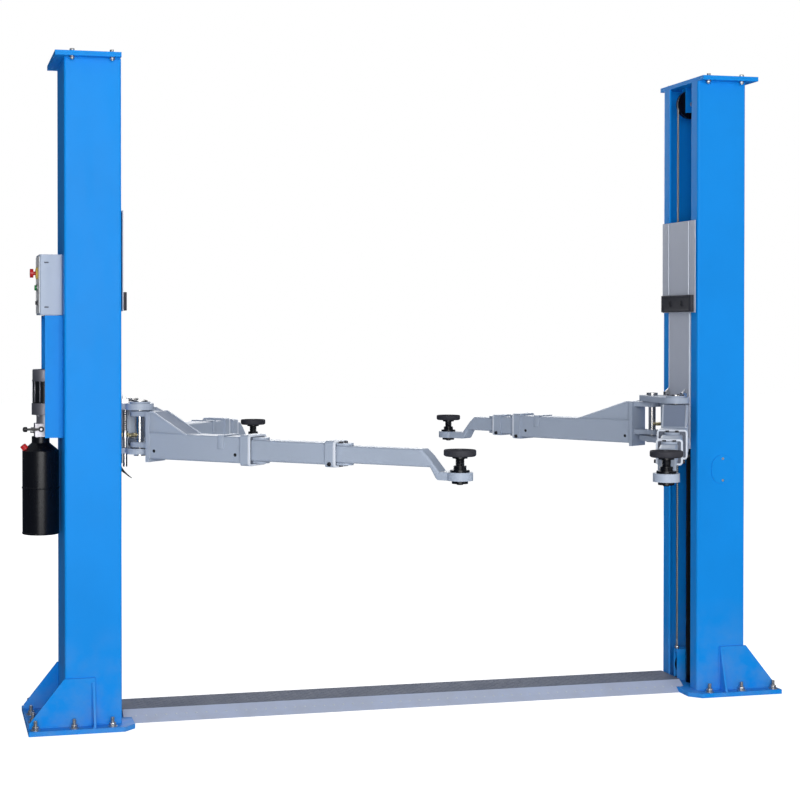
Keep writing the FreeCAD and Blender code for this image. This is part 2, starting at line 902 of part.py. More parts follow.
def lowering_lever():
    """Lever that opens the lowering valve, on a pin across the block."""
    x = motor_x - lever_offset
    y = lever_seat() - lever_gap
    hub = rod(lever_hub, (x, y, lever_z), (x, y - lever_bar, lever_z))
    bar = box((x - lever_reach, x), (y - lever_bar, y), (lever_z - lever_half, lever_z + lever_half))
    hole = rod(lever_pin + pin_clearance, (x, y + 1.0, lever_z), (x, y - lever_bar - 1.0, lever_z))
    return join(hub, bar).cut(hole)


def lever_pin_stub():
    """Pin of the lever, fixed in the valve block."""
    x = motor_x - lever_offset
    y = lever_seat()
    return rod(lever_pin, (x, y, lever_z), (x, y - lever_gap - lever_bar, lever_z))


def main():
    os.makedirs("parts", exist_ok=True)
    right_post = post()
    save("right_post", right_post)
    save("left_post", mirror_x(right_post))
    cap = end_cap((post_top + end_plate, overall_height))
    save("top_plates", group([cap, mirror_x(cap)]))
    base = base_plate()
    save("base_plates", group([base, mirror_x(base)]))
    front = gusset()
    pair = [front, mirror_y(front)]
    save("gussets", group(pair + [mirror_x(s) for s in pair]))
    save("access_cover", access_cover())
    save("floor_cover", floor_cover())
    save("sync_rope", rope())
    high = top_bracket()
    low = low_bracket()
    save("pulley_brackets", group([high, low, mirror_x(high), mirror_x(low)]))
    for name, z in (("top_pulley", pulley_high_z), ("low_pulley", pulley_low_z)):
        wheel = pulley(z)
        save("right_" + name, wheel)
        save("left_" + name, mirror_x(wheel))
    tube_pair = barrel()
    save("cylinders", group([tube_pair, mirror_x(tube_pair)]))
    for name, shape in (
        ("lift_rod", lift_rod()),
        ("carriage", carriage()),
        ("door_guard", door_guard()),
        ("arm_yoke", yoke()),
        ("lock_rods", lock_rods()),
    ):
        save("right_" + name, shape)
        save("left_" + name, mirror_x(shape))
    for name, side, row, turn, outer, middle, inner, pad_x in arms:
        save(name + "_pin", place(arm_pin(), side, row, turn))
        save(name + "_outer_arm", place(outer_arm(*outer), side, row, turn))
        save(name + "_middle_arm", place(middle_arm(*middle), side, row, turn))
        save(name + "_inner_arm", place(inner_arm(*inner, pad_x), side, row, turn))
        save(name + "_sleeve", place(screw_sleeve(pad_x), side, row, turn))
        save(name + "_pad", place(screw_pad(pad_x), side, row, turn))
    save("motor_bracket", motor_bracket())
    save("motor", motor())
    save("pump_block", join(pump_block(), lever_pin_stub()))
    save("oil_tank", oil_tank())
    save("control_box", control_box())
    save("stop_button", stop_button())
    save("raise_button", raise_button())
    save("lowering_lever", lowering_lever())


main()
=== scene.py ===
import logging
import math
from collections.abc import Callable, Iterable, Sequence
from dataclasses import dataclass, field
from enum import Enum

import bmesh
import bpy
from mathutils import Matrix, Vector


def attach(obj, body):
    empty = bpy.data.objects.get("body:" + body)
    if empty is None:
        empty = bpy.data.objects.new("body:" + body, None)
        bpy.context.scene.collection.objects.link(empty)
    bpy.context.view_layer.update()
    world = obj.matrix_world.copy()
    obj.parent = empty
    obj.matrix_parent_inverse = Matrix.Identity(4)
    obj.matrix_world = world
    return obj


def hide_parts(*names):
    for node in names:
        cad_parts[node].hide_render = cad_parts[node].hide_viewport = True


# Looks of the two post car lift. Sizes are in millimetres and become metres on the way to Blender.

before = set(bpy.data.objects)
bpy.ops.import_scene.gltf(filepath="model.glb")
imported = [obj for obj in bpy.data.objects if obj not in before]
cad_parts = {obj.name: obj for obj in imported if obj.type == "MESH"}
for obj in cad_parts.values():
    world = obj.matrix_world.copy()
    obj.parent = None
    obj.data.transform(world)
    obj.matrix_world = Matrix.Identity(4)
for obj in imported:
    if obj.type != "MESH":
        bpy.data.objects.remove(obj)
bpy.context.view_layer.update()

MM = 0.001
SIDES = (("left", -1.0), ("right", 1.0))
ROWS = (-1.0, 1.0)
log = logging.getLogger("lift")

Piece = bpy.types.Object
Point = tuple[float, float, float]
Outline = Sequence[tuple[float, float]]
Step = Callable[[], object]


class Axis(Enum):
    """Direction in which a turned piece points."""

    UP = (0.0, 0.0, 1.0)
    DOWN = (0.0, 0.0, -1.0)
    LEFT = (-1.0, 0.0, 0.0)
    RIGHT = (1.0, 0.0, 0.0)
    FRONT = (0.0, -1.0, 0.0)
    REAR = (0.0, 1.0, 0.0)


class Slot(Enum):
    """Material slots of the record."""

    POST = "post_blue"
    ARM = "arm_grey"
    CARRIAGE = "carriage_grey"
    COVER = "cover_grey"
    STEEL = "steel"
    CHROME = "chrome"
    RUBBER = "rubber"
    BLACK_STEEL = "black_steel"
    BLACK_PLASTIC = "black_plastic"
    BOX = "box_grey"
    CAST = "cast_metal"
    RED = "red_plastic"
    GREEN = "green_plastic"


def linear(red: float, green: float, blue: float) -> tuple[float, float, float, float]:
    """Turns a colour of 0 to 255 as seen on a screen into Blender's linear colour.

    Args:
        red: Red of the screen colour.
        green: Green of the screen colour.
        blue: Blue of the screen colour.

    Returns:
        Red, green, blue and an alpha of 1.
    """
    parts = []
    for value in (red, green, blue):
        part = value / 255.0
        parts.append(part / 12.92 if part <= 0.04045 else ((part + 0.055) / 1.055) ** 2.4)
    return parts[0], parts[1], parts[2], 1.0


class Value:
    """Output of a shader node that can be written into an expression."""

    def __init__(self, graph: "Graph", socket: bpy.types.NodeSocket) -> None:
        """Keeps the socket and the graph that it belongs to."""
        self.graph = graph
        self.socket = socket

    def _math(self, operation: str, first: "Value | float", second: "Value | float") -> "Value":
        """Adds one Math node for an operator."""
        inputs = {0: first, 1: second}
        return self.graph.node("ShaderNodeMath", {"operation": operation}, inputs)

    def __add__(self, other: "Value | float") -> "Value":
        """Sum of two values."""
        return self._math("ADD", self, other)

    def __radd__(self, other: float) -> "Value":
        """Sum with a number on the left."""
        return self._math("ADD", other, self)

    def __sub__(self, other: "Value | float") -> "Value":
        """Difference of two values."""
        return self._math("SUBTRACT", self, other)

    def __rsub__(self, other: float) -> "Value":
        """Difference with a number on the left."""
        return self._math("SUBTRACT", other, self)

    def __mul__(self, other: "Value | float") -> "Value":
        """Product of two values."""
        return self._math("MULTIPLY", self, other)

    def __rmul__(self, other: float) -> "Value":
        """Product with a number on the left."""
        return self._math("MULTIPLY", other, self)

    def most(self, other: "Value | float") -> "Value":
        """The larger of two values."""
        return self._math("MAXIMUM", self, other)

    def ramp(self, low: float, high: float) -> "Value":
        """Rises from zero at low to one at high and stays between them."""
        inputs = {"Value": self, "From Min": low, "From Max": high}
        return self.graph.node("ShaderNodeMapRange", {"clamp": True}, inputs)


class Graph:
    """Node tree of one material or of the world."""

    def __init__(self, tree: bpy.types.NodeTree) -> None:
        """Empties the tree."""
        self.tree = tree
        self.tree.nodes.clear()

    def feed(self, socket: bpy.types.NodeSocket, value: object) -> None:
        """Links a value to a socket, or writes a constant into it."""
        if isinstance(value, Value):
            self.tree.links.new(value.socket, socket)
        else:
            socket.default_value = value

    def node(
        self,
        kind: str,
        settings: dict[str, object] | None = None,
        inputs: dict[str | int, object] | None = None,
        output: str | int = 0,
    ) -> Value:
        """Adds one node.

        Args:
            kind: Blender's name of the node type.
            settings: Properties that are set before the inputs; "stops" fills a colour ramp.
            inputs: Constants or values by the name or number of their socket.
            output: Name or number of the socket that is handed back.

        Returns:
            The chosen output.
        """
        made = self.tree.nodes.new(kind)
        for key, value in (settings or {}).items():
            if key == "stops":
                for element, (place, colour) in zip(made.color_ramp.elements, value):
                    element.position = place
                    element.color = colour
            else:
                setattr(made, key, value)
        for key, value in (inputs or {}).items():
            self.feed(made.inputs[key], value)
        outputs = made.outputs
        return Value(self, outputs[output] if len(outputs) else made.inputs[0])

    def place(self) -> Value:
        """Position on the object, in metres."""
        return self.node("ShaderNodeTexCoord", output="Object")

    def part(self, vector: Value, axis: str) -> Value:
        """One coordinate of a vector."""
        return self.node("ShaderNodeSeparateXYZ", inputs={"Vector": vector}, output=axis)

    def noise(self, scale: float, detail: float = 3.0, stretch: Point = (1.0, 1.0, 1.0)) -> Value:
        """Soft random pattern.

        Args:
            scale: Cells in a metre.
            detail: Number of finer layers.
            stretch: Scale of each axis before the pattern.

        Returns:
            The pattern, about 0 to 1.
        """
        spot = self.node("ShaderNodeMapping", inputs={"Vector": self.place(), "Scale": stretch})
        inputs = {"Vector": spot, "Scale": scale, "Detail": detail, "Roughness": 0.55}
        return self.node("ShaderNodeTexNoise", None, inputs)

    def blend(self, mask: "Value | float", first: object, second: object) -> Value:
        """Mixes two colours by a mask."""
        inputs = {0: mask, 6: first, 7: second}
        return self.node("ShaderNodeMix", {"data_type": "RGBA"}, inputs, 2)

    def bump(self, height: Value, depth: float, under: Value | None = None) -> Value:
        """Turns a height into a normal.

        Args:
            height: Pattern of 0 to 1.
            depth: Height of a full step, in millimetres.
            under: Normal that the bump lies on.

        Returns:
            The normal.
        """
        inputs = {"Height": height, "Distance": depth * MM, "Strength": 1.0}
        if under is not None:
            inputs["Normal"] = under
        return self.node("ShaderNodeBump", None, inputs)

    def edge(self, radius: float) -> tuple[Value, Value]:
        """Rounds the look of sharp edges.

        Args:
            radius: Radius of the rounding in millimetres.

        Returns:
            The rounded normal, and a mask that is one near an edge.
        """
        rounded = self.node("ShaderNodeBevel", {"samples": 6}, {"Radius": radius * MM})
        plain = self.node("ShaderNodeNewGeometry", output="Normal")
        settings = {"operation": "DOT_PRODUCT"}
        along = self.node("ShaderNodeVectorMath", settings, {0: rounded, 1: plain}, "Value")
        return rounded, (1.0 - along).ramp(0.01, 0.16)


@dataclass(frozen=True)
class Finish:
    """Base of the finishes: a name, a colour and how the surface takes the light."""

    name: str
    colour: Point
    slot: Slot
    roughness: float = 0.4
    metallic: float = 0.0
    coat: float = 0.0
    specular: float = 0.5

    def surface(self, graph: Graph) -> dict[str, object]:
        """Sockets of the shader, which each kind of finish fills in."""
        return {"Base Color": linear(*self.colour), "Roughness": self.roughness}

    def make(self) -> bpy.types.Material:
        """Builds the material.

        Returns:
            The finished material.
        """
        material = bpy.data.materials.new(self.name)
        material.use_nodes = True
        graph = Graph(material.node_tree)
        inputs = {"Metallic": self.metallic, "Coat Weight": self.coat, "Coat Roughness": 0.12}
        inputs["Specular IOR Level"] = self.specular
        inputs.update(self.surface(graph))
        shader = graph.node("ShaderNodeBsdfPrincipled", None, inputs)
        graph.node("ShaderNodeOutputMaterial", None, {"Surface": shader})
        material.diffuse_color = linear(*self.colour)
        return material


@dataclass(frozen=True)
class Enamel(Finish):
    """Sprayed enamel with orange peel, faint scuffs, worn edges and dust near the floor."""

    peel: float = 0.10
    peel_scale: float = 260.0
    wear: float = 0.25
    worn: Point = (205.0, 210.0, 216.0)
    dust: float = 0.25
    edge_radius: float = 2.2

    def surface(self, graph: Graph) -> dict[str, object]:
        """Sockets of the enamel."""
        base = Vector(linear(*self.colour))
        cloud = graph.noise(2.3, 3.0).ramp(0.30, 0.70)
        tone = graph.blend(cloud, tuple(base * 0.955), tuple(base * 1.03))
        normal, rim = graph.edge(self.edge_radius)
        chips = graph.noise(70.0, 4.0).ramp(0.50, 0.62)
        tone = graph.blend(rim * chips * self.wear, tone, linear(*self.worn))
        height = graph.part(graph.place(), "Z")
        low = 1.0 - height.ramp(0.0, 0.45)
        film = low * graph.noise(9.0, 5.0).ramp(0.35, 0.75) * self.dust
        tone = graph.blend(film, tone, linear(168.0, 164.0, 156.0))
        streak = graph.noise(26.0, 5.0, (1.0, 1.0, 0.16)).ramp(0.45, 0.80)
        gloss = self.roughness + streak * 0.10 + film * 0.35 + cloud * 0.03
        skin = graph.noise(self.peel_scale, 2.0)
        return {
            "Base Color": tone,
            "Roughness": gloss,
            "Normal": graph.bump(skin, self.peel, normal),
        }


@dataclass(frozen=True)
class BareMetal(Finish):
    """Bare or plated metal with fine lines and faint tarnish."""

    metallic: float = 1.0
    grain: float = 0.02
    grain_scale: float = 900.0
    tarnish: Point = (120.0, 112.0, 100.0)
    tarnish_share: float = 0.25

    def surface(self, graph: Graph) -> dict[str, object]:
        """Sockets of the metal."""
        cloud = graph.noise(38.0, 4.0).ramp(0.45, 0.80)
        tone = graph.blend(cloud * self.tarnish_share, linear(*self.colour), linear(*self.tarnish))
        lines = graph.noise(self.grain_scale, 3.0, (1.0, 1.0, 0.12))
        return {
            "Base Color": tone,
            "Roughness": self.roughness + cloud * 0.16 + lines * 0.06,
            "Normal": graph.bump(lines, self.grain),
        }


@dataclass(frozen=True)
class Moulded(Finish):
    """Moulded rubber or plastic with a fine grain."""

    grain: float = 0.06
    grain_scale: float = 700.0
    bloom: Point = (120.0, 120.0, 126.0)
    bloom_share: float = 0.12

    def surface(self, graph: Graph) -> dict[str, object]:
        """Sockets of the moulding."""
        cloud = graph.noise(17.0, 5.0).ramp(0.42, 0.78)
        tone = graph.blend(cloud * self.bloom_share, linear(*self.colour), linear(*self.bloom))
        skin = graph.noise(self.grain_scale, 2.0)
        return {
            "Base Color": tone,
            "Roughness": self.roughness + cloud * 0.10 + skin * 0.06,
            "Normal": graph.bump(skin, self.grain),
        }


@dataclass(frozen=True)
class ShadedTopSheet(Enamel):
    """Painted floor sheet with painted shade on its flat top, which is painted darker than the ramps."""

    top: float = 45.0
    top_shade: Point = (96.0, 104.0, 123.0)

    def surface(self, graph: Graph) -> dict[str, object]:
        """Sockets of the painted sheet with painted shade on its top."""
        sockets = super().surface(graph)
        height = graph.part(graph.place(), "Z")
        # Painted shade: faces above the top height take a darker grey, mottled by a soft noise.
        flat = height.ramp((self.top - 1.0) * MM, self.top * MM)
        top_mottle = graph.noise(6.0, 5.0, (0.25, 1.0, 1.0)).ramp(0.35, 0.75)
        dark = graph.blend(top_mottle * 0.35, linear(*self.top_shade), linear(120.0, 128.0, 146.0))
        sockets["Base Color"] = graph.blend(flat, sockets["Base Color"], dark)
        return sockets


@dataclass(frozen=True)
class Strands(BareMetal):
    """Wire rope: twisted strands of fine wires."""

    lay: float = 42.0

    def surface(self, graph: Graph) -> dict[str, object]:
        """Sockets of the wire rope."""
        turned = {"Rotation": (0.0, math.radians(38.0), 0.0), "Vector": graph.place()}
        spot = graph.node("ShaderNodeMapping", None, turned)
        settings = {"wave_type": "BANDS", "bands_direction": "Z", "wave_profile": "SIN"}
        inputs = {"Vector": spot, "Scale": self.lay, "Distortion": 0.4, "Detail": 1.0}
        strand = graph.node("ShaderNodeTexWave", settings, inputs, "Fac")
        tone = graph.blend(strand, linear(118.0, 116.0, 112.0), linear(*self.colour))
        return {
            "Base Color": tone,
            "Roughness": 0.50 - strand * 0.14,
            "Normal": graph.bump(strand, 0.8),
        }


@dataclass(frozen=True)
class Ground(Finish):
    """Pale floor that the camera sees as white with a faint shadow."""

    def make(self) -> bpy.types.Material:
        """Builds the floor's material.

        Returns:
            The material, white to the camera and pale grey to the object.
        """
        material = bpy.data.materials.new(self.name)
        material.use_nodes = True
        graph = Graph(material.node_tree)
        speck = graph.noise(3.0, 2.0)
        pale = graph.blend(speck, linear(226.0, 226.0, 227.0), linear(232.0, 232.0, 232.0))
        mirrored = graph.node("ShaderNodeLightPath", output="Is Glossy Ray")
        pale = graph.blend(mirrored, pale, (0.08, 0.10, 0.14, 1.0))
        seen = graph.node("ShaderNodeLightPath", output="Is Camera Ray")
        seen = seen.most(graph.node("ShaderNodeLightPath", output="Is Transmission Ray"))
        floor = graph.node("ShaderNodeBsdfDiffuse", None, {"Color": pale})
        shade = graph.node("ShaderNodeBsdfDiffuse", None, {"Color": (0.50, 0.50, 0.50, 1.0)})
        glow = graph.node("ShaderNodeEmission", None, {"Color": (1.0, 1.0, 1.0, 1.0), "Strength": 0.90})
        white = graph.node("ShaderNodeAddShader", None, {0: shade, 1: glow})
        both = graph.node("ShaderNodeMixShader", None, {0: seen, 1: floor, 2: white})
        graph.node("ShaderNodeOutputMaterial", None, {"Surface": both})
        return material


class Shelf:
    """All finishes of the lift, each made once."""

    def __init__(self) -> None:
        """Makes the finishes."""
        self.recipes: dict[str, Finish] = {
            recipe.name: recipe
            for recipe in (
                Enamel("post_blue", (16, 144, 234), Slot.POST, 0.36, specular=0.10, worn=(120, 180, 235)),
                Enamel("arm_grey", (169, 180, 197), Slot.ARM, 0.38, specular=0.35, wear=0.35, dust=0.1),
                Enamel("shadow_grey", (92, 98, 112), Slot.ARM, 0.6, wear=0.1, dust=0.0),
                Enamel("carriage_grey", (194, 199, 212), Slot.CARRIAGE, 0.45, wear=0.5, peel=0.2),
                # Painted shade: the cover's flat top is painted darker than its ramps.
                ShadedTopSheet("cover_grey", (190, 201, 226), Slot.COVER, 0.55, specular=0.15, wear=0.5),
                # Painted highlight: near-white grey of the collar rims and the carriage's side beads.
                Enamel("highlight_grey", (220, 226, 236), Slot.ARM, 0.34, specular=0.35, wear=0.1, dust=0.0),
                Enamel("rail_grey", (198, 206, 219), Slot.ARM, 0.34, specular=0.35, wear=0.1, dust=0.0),
                # Painted shade: darker grey of the wedge slopes.
                Enamel("slope_shade_grey", (140, 151, 172), Slot.ARM, 0.5, specular=0.2, wear=0.1, dust=0.0),
                Enamel("door_white", (250, 250, 248), Slot.BOX, 0.4, wear=0.05, dust=0.0, peel=0.15),
                Enamel("box_grey", (164, 178, 199), Slot.BOX, 0.34, wear=0.1, dust=0.0, peel=0.15),
                Enamel(
                    "black_steel", (8, 10, 17), Slot.BLACK_STEEL, 0.24,
                    specular=0.35, wear=0.08, dust=0.0, peel=0.04,
                ),
                BareMetal("zinc", (196, 197, 198), Slot.STEEL, 0.34),
                BareMetal("chrome", (206, 203, 200), Slot.CHROME, 0.14, tarnish_share=0.06),
                BareMetal("dark_steel", (74, 74, 78), Slot.STEEL, 0.44),
                BareMetal("bronze", (214, 202, 160), Slot.STEEL, 0.42),
                BareMetal("cast_metal", (190, 188, 194), Slot.CAST, 0.40, grain=0.12, grain_scale=420.0),
                BareMetal("cast_dark", (152, 151, 160), Slot.CAST, 0.46, grain=0.14, grain_scale=420.0),
                Strands("wire_rope", (196, 194, 190), Slot.STEEL, 0.4),
                Moulded("rubber", (44, 44, 52), Slot.RUBBER, 0.62),
                Moulded("black_plastic", (20, 20, 23), Slot.BLACK_PLASTIC, 0.42),
                Moulded("red_plastic", (196, 22, 26), Slot.RED, 0.32, bloom=(220, 90, 80)),
                Moulded("green_plastic", (20, 132, 62), Slot.GREEN, 0.34, bloom=(90, 170, 110)),
                Moulded("yellow_plastic", (226, 196, 84), Slot.BLACK_PLASTIC, 0.38, bloom=(240, 214, 130)),
                Ground("studio_floor", (230, 230, 230), Slot.BOX),
            )
        }
        self.made = {name: recipe.make() for name, recipe in self.recipes.items()}

    def dress(self, piece: Piece, name: str) -> None:
        """Gives a new piece or a CAD node one finish."""
        piece.data.materials.clear()
        piece.data.materials.append(self.made[name])

    def fix(self, piece: Piece, finish: str, body: str = "frame") -> None:
        """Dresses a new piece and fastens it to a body.

        Args:
            piece: New piece.
            finish: Name of its finish.
            body: Body that it rides.
        """
        self.dress(piece, finish)
        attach(piece, body)

    def dress_part(self, piece: Piece, name: str, test: Callable[[Vector], bool]) -> None:
        """Gives the faces whose centre passes a test a further finish.

        Args:
            piece: Piece that already has a finish.
            name: Name of the further finish.
            test: Takes a face's centre in millimetres.
        """
        piece.data.materials.append(self.made[name])
        last = len(piece.data.materials) - 1
        for face in piece.data.polygons:
            if test(face.center / MM):
                face.material_index = last


def inset(thickness: float, depth: float = 0.0, each: bool = False) -> Step:
    """Edit step that insets the selected faces, together or each, in millimetres."""
    return lambda: bpy.ops.mesh.inset(thickness=thickness * MM, depth=depth * MM, use_individual=each)


def bevel(width: float, segments: int) -> Step:
    """Edit step that bevels the selected edges, in millimetres."""
    return lambda: bpy.ops.mesh.bevel(offset=width * MM, segments=segments)


class Bench:
    """Modelling steps, each done with Blender's operators on a piece of its own."""

    @staticmethod
    def clear() -> None:
        """Leaves edit mode and deselects everything."""
        if bpy.context.object and bpy.context.object.mode != "OBJECT":
            bpy.ops.object.mode_set(mode="OBJECT")
        bpy.ops.object.select_all(action="DESELECT")

    @staticmethod
    def take(piece: Piece) -> None:
        """Makes one piece the only one that is selected and active."""
        Bench.clear()
        piece.select_set(True)
        bpy.context.view_layer.objects.active = piece

    @staticmethod
    def settle(name: str) -> Piece:
        """Names the new primitive and writes its place into its mesh."""
        piece = bpy.context.object
        piece.name = name
        piece.data.name = name
        bpy.ops.object.transform_apply(location=True, rotation=True, scale=True)
        return piece

    @staticmethod
    def block(name: str, low: Point, high: Point) -> Piece:
        """Starts a piece from a cube between two corners, in millimetres."""
        Bench.clear()
        middle = [(a + b) * 0.5 * MM for a, b in zip(low, high)]
        size = [abs(b - a) * MM for a, b in zip(low, high)]
        bpy.ops.mesh.primitive_cube_add(size=1.0, location=middle, scale=size)
        return Bench.settle(name)

    @staticmethod
    def drum(name: str, radius: float, low: float, high: float, sides: int = 48) -> Piece:
        """Starts a piece from an upright cylinder about the Z axis, in millimetres."""
        Bench.clear()
        middle = (0.0, 0.0, (low + high) * 0.5 * MM)
        depth = (high - low) * MM
        bpy.ops.mesh.primitive_cylinder_add(vertices=sides, radius=radius * MM, depth=depth, location=middle)
        return Bench.settle(name)

    @staticmethod
    def edit(piece: Piece, kind: str, test: Callable[[object], bool], steps: Sequence[Step]) -> None:
        """Runs edit mode operators on the faces or edges that pass a test.

        Args:
            piece: Piece that is shaped.
            kind: FACE or EDGE.
            test: Takes a face or an edge.
            steps: Operators in their order.
        """
        Bench.take(piece)
        bpy.ops.object.mode_set(mode="EDIT")
        bpy.ops.mesh.select_mode(type=kind)
        bpy.ops.mesh.select_all(action="DESELECT")
        shape = bmesh.from_edit_mesh(piece.data)
        for element in shape.faces if kind == "FACE" else shape.edges:
            element.select_set(test(element))
        bmesh.update_edit_mesh(piece.data)
        for step in steps:
            step()
        bpy.ops.object.mode_set(mode="OBJECT")

    @staticmethod
    def on_faces(piece: Piece, test: Callable[[Vector, Vector], bool], *steps: Step) -> None:
        """Edits the faces whose centre, in millimetres, and normal pass a test."""
        Bench.edit(piece, "FACE", lambda face: test(face.calc_center_median() / MM, face.normal), steps)

    @staticmethod
    def on_edges(piece: Piece, test: Callable[[Vector, Vector], bool], *steps: Step) -> None:
        """Edits the edges whose middle, in millimetres, and direction pass a test.

        Args:
            piece: Piece that is shaped.
            test: Takes an edge's middle and direction.
            steps: Operators in their order.
        """

        def passes(edge: bmesh.types.BMEdge) -> bool:
            """Says whether one edge passes."""
            start, end = (vertex.co for vertex in edge.verts)
            return test((start + end) * 0.5 / MM, (end - start).normalized())

        Bench.edit(piece, "EDGE", passes, steps)

    @staticmethod
    def soften(piece: Piece, width: float, segments: int = 2) -> Piece:
        """Bevels every sharp edge of a piece and shades it smooth.

        Args:
            piece: Piece that is finished.
            width: Width of the bevel in millimetres.
            segments: Steps of the bevel.

        Returns:
            The piece.
        """
        Bench.take(piece)
        bevel = piece.modifiers.new("edges", "BEVEL")
        bevel.width = width * MM
        bevel.segments = segments
        bevel.limit_method = "ANGLE"
        bevel.angle_limit = math.radians(35.0)
        bpy.ops.object.modifier_apply(modifier=bevel.name)
        return Bench.smooth(piece)

    @staticmethod
    def smooth(piece: Piece, angle: float = 38.0) -> Piece:
        """Shades a piece smooth where its faces meet at a small angle."""
        Bench.take(piece)
        bpy.ops.object.shade_smooth_by_angle(angle=math.radians(angle))
        return piece

    @staticmethod
    def turned(name: str, outline: Outline, sides: int = 32) -> Piece:
        """Spins an outline of radius and height round the Z axis.

        Args:
            name: Name of the piece.
            outline: Points that start and end on the axis, or come back to the first one.
            sides: Steps of the spin.

        Returns:
            The closed piece.
        """
        Bench.clear()
        first = outline[0]
        spot = (first[0] * MM, 0.0, first[1] * MM)
        bpy.ops.mesh.primitive_plane_add(size=MM, location=spot)
        piece = Bench.settle(name)
        bpy.ops.object.mode_set(mode="EDIT")
        bpy.ops.mesh.select_mode(type="VERT")
        bpy.ops.mesh.select_all(action="SELECT")
        bpy.ops.mesh.merge(type="CENTER")
        for before, after in zip(outline, outline[1:]):
            step = ((after[0] - before[0]) * MM, 0.0, (after[1] - before[1]) * MM)
            bpy.ops.mesh.extrude_region_move(TRANSFORM_OT_translate={"value": step})
        bpy.ops.mesh.select_all(action="SELECT")
        axis = (0.0, 0.0, 1.0)
        bpy.ops.mesh.spin(steps=sides, angle=math.tau, center=(0.0, 0.0, 0.0), axis=axis)
        bpy.ops.mesh.select_all(action="SELECT")
        bpy.ops.mesh.remove_doubles(threshold=0.00001)
        bpy.ops.mesh.normals_make_consistent(inside=False)
        bpy.ops.object.mode_set(mode="OBJECT")
        return Bench.smooth(piece)

    @staticmethod
    def cut(piece: Piece, spot: Point, out: Point) -> None:
        """Cuts off what lies beyond a plane and closes the cut.

        Args:
            piece: Piece that is cut.
            spot: Point of the plane in millimetres.
            out: Direction in which the rest is taken away.
        """
        Bench.take(piece)
        bpy.ops.object.mode_set(mode="EDIT")
        bpy.ops.mesh.select_all(action="SELECT")
        middle = [value * MM for value in spot]
        bpy.ops.mesh.bisect(plane_co=middle, plane_no=out, use_fill=True, clear_outer=True)
        bpy.ops.object.mode_set(mode="OBJECT")

    @staticmethod
    def put(piece: Piece, place: Matrix) -> Piece:
        """Moves a piece and writes the move into its mesh."""
        Bench.take(piece)
        piece.matrix_world = place
        bpy.ops.object.transform_apply(location=True, rotation=True, scale=True)
        return piece

    @staticmethod
    def join(name: str, pieces: Sequence[Piece]) -> Piece:
        """Joins pieces into one that carries the name."""
        Bench.take(pieces[0])
        for piece in pieces:
            piece.select_set(True)
        if len(pieces) > 1:
            bpy.ops.object.join()
        pieces[0].name = name
        pieces[0].data.name = name
        return pieces[0]

    @staticmethod
    def spread(name: str, model: Piece, places: Iterable[Matrix]) -> Piece:
        """Copies a model piece to many places and joins the copies.

        Args:
            name: Name of the joined piece.
            model: Piece that is copied; it stays as it is.
            places: Where the copies go.

        Returns:
            The joined piece.
        """
        copies = []
        for place in places:
            copy = model.copy()
            copy.data = model.data.copy()
            bpy.context.scene.collection.objects.link(copy)
            copies.append(Bench.put(copy, place))
        return Bench.join(name, copies)

    @staticmethod
    def drop(*models: Piece) -> None:
        """Removes model pieces once their copies stand."""
        for model in models:
            bpy.data.objects.remove(model)


def at(x: float, y: float, z: float, turn: float = 0.0) -> Matrix:
    """Place in millimetres, turned about the vertical by degrees."""
    return Matrix.Translation(Vector((x, y, z)) * MM) @ Matrix.Rotation(math.radians(turn), 4, "Z")


def facing(x: float, y: float, z: float, axis: Axis) -> Matrix:
    """Place in millimetres where a piece's own Z points along an axis."""
    turn = Vector(axis.value).to_track_quat("Z", "Y").to_matrix().to_4x4()
    return Matrix.Translation(Vector((x, y, z)) * MM) @ turn


def along(start: Point, end: Point) -> Matrix:
    """Place at the start where a piece's own Z points to the end."""
    line = Vector(end) - Vector(start)
    turn = line.to_track_quat("Z", "Y").to_matrix().to_4x4()
    return Matrix.Translation(Vector(start) * MM) @ turn


def thread(low: float, high: float, root: float, crest: float, pitch: float) -> list[tuple[float, float]]:
    """Outline of a screw thread, from its low end to its high end.

    Args:
        low: Height of the first root.
        high: Height that the last root stays below.
        root: Radius at the roots.
        crest: Radius at the crests.
        pitch: Height of one turn.

    Returns:
        Points of radius and height.
    """
    points = [(root, low)]
    height = low
    while height + pitch <= high + 0.001:
        points += [(crest, height + pitch * 0.4), (crest, height + pitch * 0.6), (root, height + pitch)]
        height += pitch
    return points


